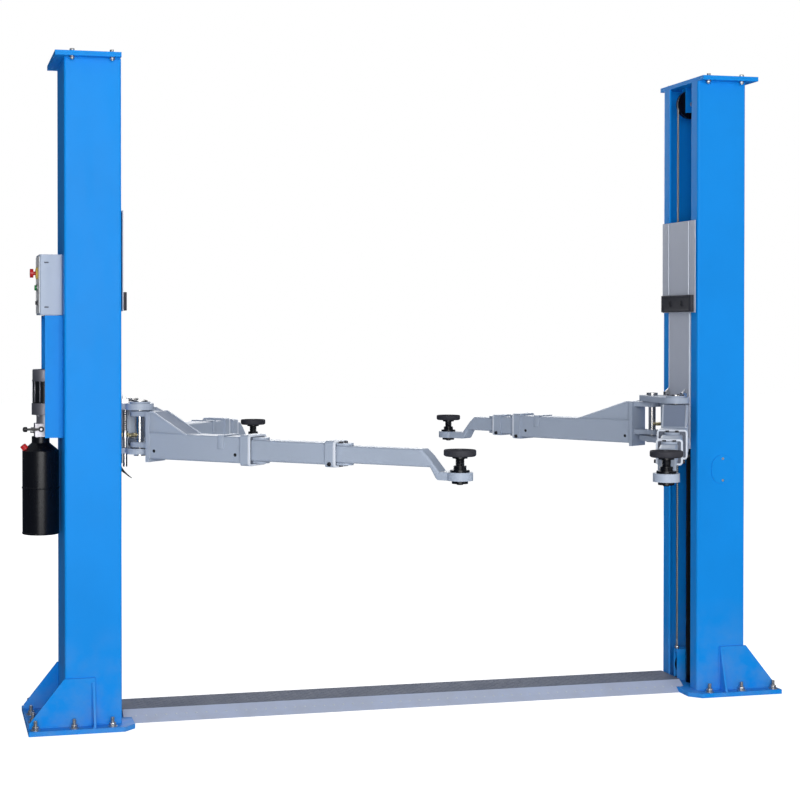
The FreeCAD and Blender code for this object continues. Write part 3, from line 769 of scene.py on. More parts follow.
@dataclass
class Fasteners:
    """Model bolts, nuts and welds, each modelled once and copied where it is needed."""

    shelf: Shelf
    models: list[Piece] = field(default_factory=list)

    def keep(self, model: Piece, finish: str) -> Piece:
        """Dresses a model piece and remembers it."""
        self.shelf.dress(model, finish)
        self.models.append(model)
        return model

    def nut(self, name: str, across: float, low: float, high: float) -> Piece:
        """Hexagon with chamfered ends.

        Args:
            name: Name of the piece.
            across: Width over two flats.
            low: Height of its foot.
            high: Height of its top.

        Returns:
            The hexagon.
        """
        chamfer = across * 0.07
        radius = across / math.sqrt(3.0)
        piece = Bench.drum(name, radius, low + chamfer * 0.6, high - chamfer * 0.6, 6)
        Bench.on_faces(piece, lambda centre, normal: abs(normal.z) > 0.9, inset(chamfer, chamfer * 0.6))
        return Bench.soften(piece, across * 0.02, 1)

    def bolt_head(self, name: str, across: float, height: float, washer: float) -> Piece:
        """Hexagon head on its washer, standing on the plane Z = 0."""
        ring = [(0.0, 0.0), (washer, 0.0), (washer, 1.6), (washer - 0.8, 2.2), (0.0, 2.2)]
        foot = Bench.turned(name + "_washer", ring, 24)
        head = self.nut(name + "_head", across, 2.2, 2.2 + height)
        return Bench.join(name, [foot, head])

    def socket_screw(self, name: str, radius: float, height: float) -> Piece:
        """Round screw head with a hexagon socket, standing on the plane Z = 0."""
        piece = Bench.drum(name, radius, 0.0, height, 24)
        Bench.on_faces(
            piece,
            lambda centre, normal: normal.z > 0.9,
            inset(radius * 0.42),
            inset(radius * 0.05, -height * 0.6),
        )
        return Bench.soften(piece, radius * 0.08, 2)

    def anchor(self) -> Piece:
        """Anchor bolt with sleeve, washer, nut and threaded end, on the plane Z = 0."""
        ring = [(0.0, 0.0), (21.0, 0.0), (21.0, 2.4), (19.8, 3.2), (0.0, 3.2)]
        washer = Bench.turned("anchor_washer", ring, 24)
        nut = self.nut("anchor_nut", 26.0, 3.2, 17.0)
        stud = [(0.0, 15.0)] + thread(15.0, 37.5, 7.2, 8.4, 2.5) + [(6.4, 39.0), (0.0, 39.0)]
        end = Bench.turned("anchor_stud", stud, 16)
        return self.keep(Bench.join("anchor_model", [washer, nut, end]), "zinc")

    def weld(self, length: float, radius: float = 3.2) -> Piece:
        """Weld bead along the Z axis, with its ripples."""
        points = [(0.0, 0.0), (radius * 0.7, 1.0)]
        steps = max(2, int(length / 5.0))
        pitch = (length - 2.0) / steps
        for step in range(steps):
            height = 1.0 + step * pitch
            points += [(radius, height + pitch * 0.45), (radius * 0.86, height + pitch)]
        points += [(radius * 0.6, length - 0.4), (0.0, length)]
        return Bench.turned("weld_model", points, 8)

    def weld_runs(self, name: str, radius: float, runs: Sequence[tuple[Point, Point]]) -> Piece:
        """Lays weld beads between pairs of points.

        Args:
            name: Name of the joined piece.
            radius: Radius of the beads.
            runs: Start and end of each bead in millimetres.

        Returns:
            All beads as one piece.
        """
        beads = []
        for start, end in runs:
            model = self.weld((Vector(end) - Vector(start)).length, radius)
            beads.append(Bench.put(model, along(start, end)))
        return Bench.join(name, beads)

    def lathe(
        self, name: str, outline: Outline, sides: int, place: Matrix, finish: str, body: str = "frame"
    ) -> None:
        """Turns a piece, puts it in its place and fastens it.

        Args:
            name: Name of the piece.
            outline: Its outline, as for Bench.turned.
            sides: Steps of the spin.
            place: Where it goes.
            finish: Name of its finish.
            body: Body that it rides.
        """
        self.shelf.fix(Bench.put(Bench.turned(name, outline, sides), place), finish, body)

    def away(self) -> None:
        """Removes the model pieces."""
        Bench.drop(*self.models)
        self.models.clear()


@dataclass
class Posts:
    """Posts with their base plates, top plates, anchors and welds."""

    shelf: Shelf
    fasteners: Fasteners
    outer_x: float = 1565.0
    half_width: float = 180.0
    base_top: float = 20.0
    plate_top: float = 2850.0
    plate_bottom: float = 2830.0
    anchors: tuple[tuple[float, float], ...] = (
        (1690.0, 70.0), (1690.0, -70.0), (1690.0, 220.0), (1690.0, -220.0),
        (1530.0, 220.0), (1530.0, -220.0), (1370.0, 220.0), (1370.0, -220.0),
    )
    plate_bolts: tuple[tuple[float, float], ...] = (
        (1366.0, 201.0), (1533.0, 201.0), (1366.0, -201.0), (1533.0, -201.0),
    )
    screw_x: float = 1452.0
    screw_y: float = -183.0
    screw_heights: tuple[float, float] = (989.0, 1089.0)

    def build(self) -> None:
        """Makes the anchors, bolts, screws and welds."""
        anchor = self.fasteners.anchor()
        head = self.fasteners.keep(self.fasteners.bolt_head("plate_bolt_model", 19.0, 9.0, 13.0), "zinc")
        tail_line = [(0.0, 0.0), (11.5, 0.0), (11.5, -2.4), (5.4, -2.4), (5.4, -11.0)]
        tail_line += [(6.0, -11.6), (6.0, -14.0), (5.0, -15.0), (0.0, -15.0)]
        tail = Bench.turned("bolt_tail_model", tail_line, 16)
        nut = self.fasteners.nut("bolt_nut_model", 19.0, -11.0, -2.4)
        tail = self.fasteners.keep(Bench.join("bolt_tail_model", [tail, nut]), "zinc")
        for name, side in SIDES:
            places = [
                at(side * x, y, self.base_top, 37.0 * number)
                for number, (x, y) in enumerate(self.anchors)
            ]
            self.shelf.fix(Bench.spread(name + "_anchor_bolts", anchor, places), "zinc")
            places = [
                at(side * x, y, self.plate_top, 23.0 * number)
                for number, (x, y) in enumerate(self.plate_bolts)
            ]
            self.shelf.fix(Bench.spread(name + "_plate_bolts", head, places), "zinc")
            places = [at(side * x, y, self.plate_bottom, 11.0) for x, y in self.plate_bolts]
            self.shelf.fix(Bench.spread(name + "_plate_bolt_ends", tail, places), "zinc")
            self.shelf.fix(self.welds(name, side), "post_blue")
        screw = self.fasteners.keep(self.fasteners.socket_screw("cover_screw_model", 5.5, 3.0), "zinc")
        places = [facing(self.screw_x, self.screw_y, z, Axis.FRONT) for z in self.screw_heights]
        self.shelf.fix(Bench.spread("access_cover_screws", screw, places), "zinc")
        self.dress_nodes()

    def welds(self, name: str, side: float) -> Piece:
        """Beads where the post and its gussets meet the base plate and each other.

        Args:
            name: Side name that starts the piece's name.
            side: -1 for the left post and 1 for the right one.

        Returns:
            The beads of one post.
        """
        z = self.base_top + 1.5
        runs = []
        for row in ROWS:
            face = row * (self.half_width + 11.0)
            rib = row * (self.half_width + 62.0)
            flank = row * (self.half_width + 1.5)
            runs += [
                ((side * 1455.0, face, z), (side * 1712.0, face, z)),
                ((side * 1452.0, face, z), (side * 1452.0, rib, z)),
                ((side * 1452.0, face, z + 6.0), (side * 1452.0, face, 200.0)),
                ((side * 1345.0, flank, z), (side * 1436.0, flank, z)),
                ((side * 1438.0, flank, z), (side * 1438.0, flank, 214.0)),
            ]
        x = side * (self.outer_x + 1.5)
        runs.append(((x, -165.0, z), (x, 165.0, z)))
        return self.fasteners.weld_runs(name + "_post_welds", 3.4, runs)

    def dress_nodes(self) -> None:
        """Paints the CAD nodes of the posts."""
        for node in ("left_post", "right_post", "top_plates", "base_plates", "gussets", "access_cover"):
            self.shelf.dress(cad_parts[node], "post_blue")


@dataclass
class RopeGear:
    """Rope pulleys, their brackets and the rope."""

    shelf: Shelf
    fasteners: Fasteners
    axle_x: float = 1405.0
    axle_y: float = 62.0
    cheek: float = 20.0
    low_z: float = 93.0
    high_z: float = 2753.0
    rope_x: float = 1343.0
    socket_z: float = 169.0

    def build(self) -> None:
        """Makes the axle ends and rope ends and dresses the nodes."""
        line = [(0.0, -3.0), (11.0, -3.0), (11.0, 3.6), (9.8, 4.6), (0.0, 4.6)]
        cap = self.fasteners.keep(Bench.turned("axle_end_model", line, 24), "zinc")
        hub_line = [(15.3, 0.0), (30.0, 0.0), (30.0, 1.4), (28.0, 2.4), (15.3, 2.4), (15.3, 0.0)]
        hub = self.fasteners.keep(Bench.turned("hub_model", hub_line, 32), "black_steel")
        end_line = [(0.0, 0.0), (9.5, 0.0), (9.5, 2.0)] + thread(2.0, 20.0, 5.4, 6.4, 2.0)
        end_line += [(5.6, 24.0), (5.2, 46.0), (0.0, 46.0)]
        socket = Bench.turned("rope_end_model", end_line, 20)
        nut = self.fasteners.nut("rope_nut_model", 19.0, 2.0, 12.0)
        socket = self.fasteners.keep(Bench.join("rope_end_model", [socket, nut]), "zinc")
        for name, side in SIDES:
            for level, z in (("low", self.low_z), ("top", self.high_z)):
                places = [
                    facing(side * self.axle_x, self.axle_y - self.cheek, z, Axis.FRONT),
                    facing(side * self.axle_x, self.axle_y + self.cheek, z, Axis.REAR),
                ]
                piece = Bench.spread(f"{name}_{level}_axle_ends", cap, places)
                self.shelf.fix(piece, "zinc")
                places = [
                    facing(side * self.axle_x, self.axle_y - 11.0, z, Axis.FRONT),
                    facing(side * self.axle_x, self.axle_y + 11.0, z, Axis.REAR),
                ]
                piece = Bench.spread(f"{name}_{level}_pulley_hub", hub, places)
                self.shelf.fix(piece, "black_steel", f"{name}_{level}_pulley")
                self.shelf.dress(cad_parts[f"{name}_{level}_pulley"], "black_steel")
            place = [at(side * self.rope_x, self.axle_y, self.socket_z)]
            self.shelf.fix(Bench.spread(name + "_rope_end", socket, place), "zinc")
        self.shelf.dress(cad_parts["pulley_brackets"], "post_blue")
        self.shelf.dress(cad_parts["sync_rope"], "wire_rope")


@dataclass
class FloorCover:
    """Raised pattern and dimples of the floor cover."""

    shelf: Shelf
    top: float = 46.0
    centre_y: float = 62.0
    half_top: float = 95.0
    ramp: float = 80.0
    reach: float = 1290.0
    lozenge: float = 21.0
    pitch: float = 38.0
    dimple_pitch: float = 44.0

    def build(self) -> None:
        """Makes the lozenges of the top and the dimples of both ramps."""
        self.lozenges("cover_lozenges_one", 0.0, 45.0)
        self.lozenges("cover_lozenges_two", self.pitch * 0.5, -45.0)
        self.dimples()
        self.shelf.dress(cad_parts["floor_cover"], "cover_grey")

    def repeat(self, piece: Piece, count: int, step: Point) -> None:
        """Repeats a piece along a line with an applied Array modifier."""
        Bench.take(piece)
        array = piece.modifiers.new("row", "ARRAY")
        array.count = count
        array.use_relative_offset = False
        array.use_constant_offset = True
        array.constant_offset_displace = [value * MM for value in step]
        bpy.ops.object.modifier_apply(modifier=array.name)

    def lozenges(self, name: str, shift: float, turn: float) -> None:
        """Lays one direction of the chequer pattern on the flat top.

        Args:
            name: Name of the piece.
            shift: Offset of the pattern along X and Y.
            turn: Turn of each lozenge in degrees.
        """
        half = self.lozenge / 2.0
        piece = Bench.block(name, (-half, -2.8, -0.4), (half, 2.8, 0.3))
        Bench.on_edges(piece, lambda centre, line: abs(line.z) > 0.9, bevel(2.6, 2))
        Bench.on_faces(piece, lambda centre, normal: normal.z > 0.9, inset(1.0, 0.6))
        Bench.smooth(piece)
        columns = int((2.0 * self.reach - 40.0) / self.pitch)
        first_x = -0.5 * (columns - 1) * self.pitch + shift - self.pitch * 0.25
        first_y = self.centre_y - 2.0 * self.pitch + shift - self.pitch * 0.25
        Bench.put(piece, at(first_x, first_y, self.top, turn))
        self.repeat(piece, 5, (0.0, self.pitch, 0.0))
        self.repeat(piece, columns, (self.pitch, 0.0, 0.0))
        self.shelf.fix(piece, "cover_grey")

    def dimples(self) -> None:
        """Presses a row of dimples into the middle of each ramp."""
        line = [(0.0, -0.6), (6.0, -0.6), (5.2, 0.5), (3.4, 1.2), (0.0, 1.5)]
        slope = math.atan2(self.top, self.ramp)
        pieces = []
        for row in ROWS:
            piece = Bench.turned("dimple", line, 12)
            y = self.centre_y + row * (self.half_top + self.ramp * 0.5)
            lean = Matrix.Rotation(-row * slope, 4, "X")
            count = int(2.0 * self.reach / self.dimple_pitch)
            start = at(-0.5 * (count - 1) * self.dimple_pitch, y, self.top * 0.5)
            Bench.put(piece, start @ lean)
            self.repeat(piece, count, (self.dimple_pitch, 0.0, 0.0))
            pieces.append(piece)
        piece = Bench.join("cover_dimples", pieces)
        self.shelf.dress(piece, "rail_grey")
        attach(piece, "frame")


@dataclass
class Arm:
    """One arm: where its hinge is, how it is turned and where its tubes end."""

    name: str
    side: float
    row: float
    turn: float
    outer_end: float
    middle_end: float
    pad_s: float
    wedge_end: float
    outer_bolts: bool = True
    hinge_x: float = 1242.0
    hinge_y: float = 125.0

    def spot(self, s: float, t: float, z: float) -> Matrix:
        """Place along the arm, across it and in height, in millimetres."""
        base = at(self.side * self.hinge_x, self.row * self.hinge_y, 0.0, self.turn)
        return base @ Matrix.Translation(Vector((s, t, z)) * MM)

    def point(self, s: float, t: float, z: float) -> Point:
        """The same place as a point in millimetres."""
        spot = self.spot(s, t, z).translation / MM
        return spot.x, spot.y, spot.z


@dataclass
class Arms:
    """Dress of the four arms: collars, rails, welds, bolts, screws and pads."""

    shelf: Shelf
    fasteners: Fasteners
    arms: tuple[Arm, ...] = (
        Arm("left_front", -1.0, -1.0, -44.4, 588.0, 982.0, 1516.0, 280.0, outer_bolts=False),
        Arm("right_front", 1.0, -1.0, -117.1, 588.0, 1032.0, 1450.0, 280.0),
        Arm("left_rear", -1.0, 1.0, 50.5, 760.0, 862.0, 1125.0, 383.0),
        Arm("right_rear", 1.0, 1.0, 123.7, 760.0, 893.0, 1235.0, 383.0),
    )
    tube_low: float = 1142.0
    tube_high: float = 1250.0
    tube_half: float = 55.0
    step: tuple[float, float] = (0.0, 11.0)
    rim_over: float = 9.3
    mouth: float = 10.0
    lug_top: float = 1340.0
    root: float = 90.0
    wedge_flat: float = 20.0
    plug_z: float = 1176.0
    saddle_low: float = 1198.0
    saddle_proud: float = 4.5
    pad_top: float = 1232.0

    def build(self) -> None:
        """Builds the dress of each arm."""
        bolt = self.fasteners.bolt_head("collar_bolt_model", 13.0, 6.0, 8.5)
        self.fasteners.keep(bolt, "dark_steel")
        for arm in self.arms:
            for node in ("outer_arm", "middle_arm", "inner_arm"):
                self.shelf.dress(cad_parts[f"{arm.name}_{node}"], "arm_grey")
            self.slope(arm)
            self.collar(arm, 0, arm.outer_end, "arm")
            self.collar(arm, 1, arm.middle_end, "middle")
            self.collar_bolts(arm, bolt)
            self.rails(arm)
            self.root_welds(arm)
            self.saddle(arm)
            self.plugs(arm)
            self.pad(arm)
            self.sleeve(arm)
            self.shelf.dress(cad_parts[arm.name + "_pin"], "chrome")

    def collar(self, arm: Arm, level: int, end: float, part: str) -> None:
        """Rounded rim that stands proud of a collar's mouth; the rim's light grey is a painted highlight and
        the mouth's dark grey is painted shade.

        Args:
            arm: Arm that carries it.
            level: 0 for the outer tube and 1 for the middle tube.
            end: Distance of the tube's end from the hinge.
            part: Body of the tube.
        """
        drop = self.step[level]
        half = self.tube_half - drop + self.rim_over
        low = self.tube_low + drop - self.rim_over
        high = self.tube_high - drop + self.rim_over
        mouth = end + self.mouth
        corners = (mouth - 6.0, -half, low), (mouth + 4.5, half, high)
        piece = Bench.block(f"{arm.name}_{part}_collar", *corners)
        Bench.on_edges(piece, lambda centre, line: abs(line.x) > 0.9, bevel(13.2, 6))
        Bench.on_faces(
            piece,
            lambda centre, normal: abs(normal.x) > 0.9,
            inset(8.0),
            lambda: bpy.ops.mesh.bridge_edge_loops(),
        )
        Bench.soften(piece, 1.6, 2)
        Bench.put(piece, arm.spot(0.0, 0.0, 0.0))
        # Painted highlight: the rim takes a near-white grey.
        self.shelf.fix(piece, "highlight_grey", f"{arm.name}_{part}")
        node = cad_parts[arm.name + ("_outer_arm" if level == 0 else "_middle_arm")]
        back = arm.spot(0.0, 0.0, 0.0).inverted()

        def inside(centre: Vector) -> bool:
            """Says whether a face lies in the plane of the mouth."""
            return abs((back @ (centre * MM)).x / MM - mouth) < 0.5

        # Painted shade: the faces in the mouth's plane take a dark grey.
        self.shelf.dress_part(node, "shadow_grey", inside)

    def slope(self, arm: Arm) -> None:
        """Paints shade on the wedge's slope between its raised edges: the slope takes a darker grey."""
        back = arm.spot(0.0, 0.0, 0.0).inverted()
        inner = self.tube_half - 9.0

        def between(centre: Vector) -> bool:
            """Says whether a face lies on the slope."""
            spot = (back @ (centre * MM)) / MM
            within = abs(spot.y) < inner and self.root < spot.x < arm.wedge_end
            return within and spot.z > self.tube_high + 1.0

        # Painted shade: the upward-facing slope is darker than the arm's sides.
        self.shelf.dress_part(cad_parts[arm.name + "_outer_arm"], "slope_shade_grey", between)

    def plugs(self, arm: Arm) -> None:
        """Plugs in the holes on the outer tube's sides."""
        line = [(0.0, -0.5), (7.2, -0.5), (7.2, 0.3), (5.6, 0.8), (0.0, 0.6)]
        model = Bench.turned("plug_model", line, 20)
        places = []
        for row in ROWS:
            turn = Matrix.Rotation(-row * math.pi / 2.0, 4, "X")
            for s in (self.root + 26.0, arm.outer_end - 62.0):
                places.append(arm.spot(s, row * self.tube_half, self.plug_z) @ turn)
        piece = Bench.spread(arm.name + "_plugs", model, places)
        Bench.drop(model)
        self.shelf.fix(piece, "black_plastic", arm.name + "_arm")

    def collar_bolts(self, arm: Arm, bolt: Piece) -> None:
        """Bolts on the tongues above and below each collar.

        Args:
            arm: Arm that carries them.
            bolt: Model bolt.
        """
        for level, end, part in ((0, arm.outer_end, "arm"), (1, arm.middle_end, "middle")):
            if level == 0 and not arm.outer_bolts:
                continue
            over = self.tube_high - 11.0 * (level + 1) + 9.4
            under = self.tube_low + 11.0 * (level + 1) - 9.4
            flip = Matrix.Rotation(math.pi, 4, "X")
            places = [arm.spot(end + 24.0, t, over) for t in (-20.0, 20.0)]
            places += [arm.spot(end + 24.0, t, under) @ flip for t in (-20.0, 20.0)]
            side = self.tube_half - 11.0 * level + 9.0
            for row in ROWS:
                turn = Matrix.Rotation(-row * math.pi / 2.0, 4, "X")
                foot = self.tube_low + 11.0 * level + 4.0
                places.append(arm.spot(end - 11.0, row * side, foot) @ turn)
            piece = Bench.spread(f"{arm.name}_{part}_bolts", bolt, places)
            self.shelf.fix(piece, "dark_steel", f"{arm.name}_{part}")

    def rails(self, arm: Arm) -> None:
        """Raised edges of the side plates along the wedge's slope, in a lighter grey that paints their edge
        highlight.
        """
        runs = []
        start = self.root + self.wedge_flat
        length = math.hypot(arm.wedge_end - start, self.lug_top - self.tube_high)
        lean = math.atan2(self.lug_top - self.tube_high, arm.wedge_end - start)
        for t in (-self.tube_half + 3.5, self.tube_half - 3.5):
            piece = Bench.block("rail", (0.0, t - 3.5, -3.0), (length + 2.0, t + 3.5, 2.6))
            Bench.soften(piece, 1.2, 2)
            tilt = Matrix.Rotation(lean, 4, "Y")
            runs.append(Bench.put(piece, arm.spot(start, 0.0, self.lug_top) @ tilt))
            piece = Bench.block("rail_flat", (2.0, t - 3.5, -3.0), (self.wedge_flat + 1.0, t + 3.5, 2.6))
            Bench.soften(piece, 1.2, 2)
            runs.append(Bench.put(piece, arm.spot(self.root, 0.0, self.lug_top)))
        # Painted highlight: the raised edges take a lighter grey than the arm.
        self.shelf.fix(Bench.join(arm.name + "_wedge_rails", runs), "rail_grey", arm.name + "_arm")

    def root_welds(self, arm: Arm) -> None:
        """Beads round the root plate and at the wedge's foot."""
        half = self.tube_half
        root = self.root
        end = arm.wedge_end
        top = self.tube_high + 1.0
        lines = []
        for t in (-half - 1.0, half + 1.0):
            lines.append(((root + 1.5, t, 1140.0), (root + 1.5, t, 1336.0)))
            lines.append(((root + 4.0, t * 0.99, top), (end, t * 0.99, top)))
        lines.append(((end + 1.5, -50.0, top), (end + 1.5, 50.0, top)))
        lines.append(((root + 2.0, -52.0, 1140.5), (root + 2.0, 52.0, 1140.5)))
        runs = [(arm.point(*first), arm.point(*last)) for first, last in lines]
        piece = self.fasteners.weld_runs(arm.name + "_root_welds", 2.8, runs)
        self.shelf.fix(piece, "arm_grey", arm.name + "_arm")

    def saddle(self, arm: Arm) -> None:
        """Thin strap welded over the outer tube near its mouth."""
        end = arm.outer_end - 116.0
        wide = self.tube_half + self.saddle_proud
        corners = (end - 45.0, -wide, self.saddle_low), (end + 15.0, wide, self.tube_high + self.saddle_proud)
        piece = Bench.block(arm.name + "_saddle", *corners)
        Bench.on_faces(
            piece,
            lambda centre, normal: normal.z < -0.9,
            inset(4.0),
            lambda: bpy.ops.mesh.extrude_region_move(TRANSFORM_OT_translate={"value": (0.0, 0.0, 53.0 * MM)}),
        )
        Bench.cut(piece, (end - 30.0, 0.0, 0.0), (-1.0, 0.0, 0.0))
        Bench.cut(piece, (end, 0.0, 0.0), (1.0, 0.0, 0.0))
        Bench.soften(piece, 1.5, 2)
        Bench.put(piece, arm.spot(0.0, 0.0, 0.0))
        self.shelf.fix(piece, "arm_grey", arm.name + "_arm")

    def pad(self, arm: Arm) -> None:
        """Rubber pad with a waffle top on its threaded screw; it stands for the plain pad."""
        top = self.pad_top
        rings = [(radius, top) for radius in (59.5, 49.0, 38.0, 27.0, 16.0, 7.0, 0.0)]
        under = top - 25.0
        screw = thread(1122.0, under - 8.0, 15.5, 17.4, 4.0)
        outline = [(0.0, 1105.0), (14.0, 1105.0), (15.5, 1106.5)] + screw
        outline += [(29.0, under - 8.0), (29.0, under), (56.0, under), (60.5, under + 3.0)]
        outline += [(62.0, under + 6.0), (62.0, top - 3.0)] + rings
        piece = Bench.turned(arm.name + "_pad_rubber", outline, 40)
        Bench.on_faces(
            piece,
            lambda centre, normal: normal.z > 0.9 and centre.z > top - 0.5 and centre.xy.length > 10.0,
            inset(1.1, -2.2, True),
        )
        Bench.smooth(piece, 30.0)
        Bench.put(piece, arm.spot(arm.pad_s, 0.0, 0.0))
        self.shelf.fix(piece, "rubber", arm.name + "_pad")
        self.shelf.dress_part(piece, "black_steel", lambda centre: centre.z < under - 0.5)
        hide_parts(arm.name + "_pad")

    def sleeve(self, arm: Arm) -> None:
        """Coarse thread round the sleeve and the ring's bright bead."""
        outline = thread(1157.0, 1170.5, 23.0, 25.4, 4.5)
        outline = [(22.0, 1156.5)] + outline + [(22.0, 1171.5), (22.0, 1156.5)]
        place = arm.spot(arm.pad_s, 0.0, 0.0)
        body = arm.name + "_inner"
        self.fasteners.lathe(arm.name + "_sleeve_thread", outline, 32, place, "black_steel", body)
        cap_line = [(0.0, 1104.0), (9.0, 1104.0), (11.0, 1102.0), (12.5, 1098.5), (0.0, 1097.5)]
        self.fasteners.lathe(arm.name + "_screw_end", cap_line, 24, place, "chrome", arm.name + "_pad")
        self.shelf.dress(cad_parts[arm.name + "_sleeve"], "black_steel")


@dataclass
class Carriages:
    """Carriages with their ears, locks and door guards."""

    shelf: Shelf
    fasteners: Fasteners
    sheet_x: float = 1316.0
    guard_x: float = 1299.0
    guard_z: float = 1807.0
    guard_low: float = 1768.0
    guard_high: float = 1846.0
    guard_half: float = 158.0
    screw_y: float = 58.0
    hinge_x: float = 1242.0
    hinge_y: float = 125.0
    ear_top: float = 1372.0
    ear_low: float = 1157.0
    face_x: float = 1320.0
    face_half: float = 107.0
    carriage_top: float = 2191.0
    gear_z: float = 1229.0
    tooth: float = 4.0
    cap_ring: float = 35.5
    grip_z: float = 1110.0
    lock_x: float = 1300.0
    lock_y: float = 88.0

    def build(self) -> None:
        """Builds the dress of both carriages."""
        keep = self.fasteners.keep
        screw = keep(self.fasteners.socket_screw("guard_screw_model", 7.5, 4.0), "dark_steel")
        bolt = keep(self.fasteners.bolt_head("ear_bolt_model", 10.0, 3.6, 6.5), "dark_steel")
        for name, side in SIDES:
            self.guard(name, side, screw)
            self.ear_caps(name, side, bolt)
            self.locks(name, side)
            self.beads(name, side)
            for node, finish in (
                ("carriage", "carriage_grey"), ("arm_yoke", "arm_grey"), ("lock_rods", "chrome"),
                ("lift_rod", "chrome"),
            ):
                self.shelf.dress(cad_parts[f"{name}_{node}"], finish)
        self.shelf.dress(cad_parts["cylinders"], "black_steel")

    def guard(self, name: str, side: float, screw: Piece) -> None:
        """Rubber block with rounded edges and two sunk screws; it stands for the plain block.

        Args:
            name: Side name.
            side: -1 for the left carriage and 1 for the right one.
            screw: Model screw.
        """
        piece = Bench.block(
            name + "_guard_rubber",
            (self.guard_x, -self.guard_half, self.guard_low),
            (self.sheet_x, self.guard_half, self.guard_high),
        )
        Bench.on_edges(
            piece,
            lambda centre, line: centre.x < self.guard_x + 1.0 and abs(line.z) > 0.9,
            bevel(12.0, 5),
        )
        Bench.on_faces(
            piece,
            lambda centre, normal: normal.x < -0.99 and abs(centre.y) < 20.0,
            inset(9.0),
            inset(1.5, -1.8),
        )
        Bench.soften(piece, 2.2, 3)
        places = [
            facing(self.guard_x + 1.6, y, self.guard_z, Axis.LEFT) for y in (-self.screw_y, self.screw_y)
        ]
        heads = Bench.spread(name + "_guard_screws", screw, places)
        ring = [(9.0, 0.0), (15.0, 0.0), (14.0, 1.6), (10.0, 1.6), (9.0, 0.0)]
        seat = self.fasteners.keep(Bench.turned("guard_seat_model", ring, 28), "rubber")
        seats = Bench.spread(name + "_guard_seats", seat, places)
        if side < 0.0:
            turn = Matrix.Rotation(math.pi, 4, "Z")
            for part in (piece, heads, seats):
                Bench.put(part, turn)
        self.shelf.fix(piece, "rubber", name + "_carriage")
        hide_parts(name + "_door_guard")
        self.shelf.fix(heads, "dark_steel", name + "_carriage")
        self.shelf.fix(seats, "rubber", name + "_carriage")

    def beads(self, name: str, side: float) -> None:
        """Weld beads of the side plates on the carriage's sheet, in a light grey that paints the bright edge
        highlight, and of the yoke on its face.

        Args:
            name: Side name.
            side: -1 for the left carriage and 1 for the right one.
        """
        runs = []
        for row in ROWS:
            x = side * self.sheet_x
            y = row * (self.face_half - 3.0)
            runs.append(((x, y, self.guard_high + 2.0), (x, y, self.carriage_top - 2.0)))
            x = side * (self.face_x + 1.0)
            y = row * (self.face_half - 1.0)
            runs.append(((x, y, self.ear_top + 2.0), (x, y, self.guard_low - 6.0)))
        # Painted highlight: the side plates' beads take a light grey where the edges catch the light.
        piece = self.fasteners.weld_runs(name + "_carriage_beads", 3.0, runs)
        self.shelf.fix(piece, "highlight_grey", name + "_carriage")
        x = side * self.face_x
        runs = []
        for level in (self.ear_top, self.ear_low):
            runs.append(((x, -self.face_half + 4.0, level), (x, self.face_half - 4.0, level)))
        piece = self.fasteners.weld_runs(name + "_yoke_welds", 3.6, runs)
        self.shelf.fix(piece, "arm_grey", name + "_carriage")

    def ear_caps(self, name: str, side: float, bolt: Piece) -> None:
        """Cap plate with four bolts over the front arm's pin.

        Args:
            name: Side name.
            side: -1 for the left carriage and 1 for the right one.
            bolt: Model bolt.
        """
        top = self.ear_top
        line = [(27.0, 0.0), (44.0, 0.0), (44.0, 6.5), (42.5, 8.0), (27.0, 8.0), (27.0, 0.0)]
        line = [(radius, top + height) for radius, height in line]
        place = at(side * self.hinge_x, -self.hinge_y, 0.0)
        self.fasteners.lathe(name + "_pin_cap", line, 48, place, "arm_grey", name + "_carriage")
        places = []
        for step in range(4):
            angle = math.radians(45.0 + 90.0 * step)
            x = side * self.hinge_x + self.cap_ring * math.cos(angle)
            y = -self.hinge_y + self.cap_ring * math.sin(angle)
            places.append(at(x, y, top + 8.0, 20.0 * step))
        self.shelf.fix(Bench.spread(name + "_cap_bolts", bolt, places), "dark_steel", name + "_carriage")

    def locks(self, name: str, side: float) -> None:
        """Pointed lug on top of each lock rod, spring under the ear and curved pull handle."""
        pieces = []
        springs = []
        for row in ROWS:
            x = side * self.lock_x
            y = row * self.lock_y
            lug = Bench.block("lug", (-11.0, -4.0, 1388.0), (9.0, 4.0, 1408.0))
            Bench.on_edges(
                lug,
                lambda centre, line: centre.z > 1407.0 and abs(line.y) > 0.9 and centre.x > 0.0,
                bevel(17.0, 1),
            )
            Bench.soften(lug, 1.0, 2)
            turn = 180.0 if side > 0.0 else 0.0
            pieces.append(Bench.put(lug, at(x, y, 0.0, turn)))
            coil_line = thread(1252.0, 1340.0, 6.8, 9.4, 8.0)
            coil_line = [(6.4, 1251.5)] + coil_line + [(6.4, 1340.5), (6.4, 1251.5)]
            coil = Bench.turned("lock_spring", coil_line, 20)
            springs.append(Bench.put(coil, at(x, y, 0.0)))
        self.shelf.fix(Bench.join(name + "_lock_lugs", pieces), "zinc", name + "_carriage")
        self.shelf.fix(Bench.join(name + "_lock_springs", springs), "chrome", name + "_carriage")
        gears = []
        for row in ROWS:
            place = at(side * self.lock_x, row * self.lock_y, self.gear_z)
            gears.append(Bench.put(self.gear("lock_gear", 16.5, 11, 16.0), place))
        self.shelf.fix(Bench.join(name + "_lock_gears", gears), "bronze", name + "_carriage")
        for row, word in ((-1.0, "front"), (1.0, "rear")):
            wheel = self.gear(f"{name}_{word}_arm_gear", 48.0, 34, 14.0)
            dx = side * (self.lock_x - self.hinge_x)
            dy = row * (self.lock_y - self.hinge_y)
            self.sector(wheel, math.atan2(dy, dx), math.radians(55.0))
            Bench.put(wheel, at(side * self.hinge_x, row * self.hinge_y, self.gear_z))
            self.shelf.fix(wheel, "bronze", f"{name}_{word}_arm")
        grips = [self.grip(side, row) for row in ROWS]
        self.shelf.fix(Bench.join(name + "_lock_grips", grips), "black_plastic", name + "_carriage")

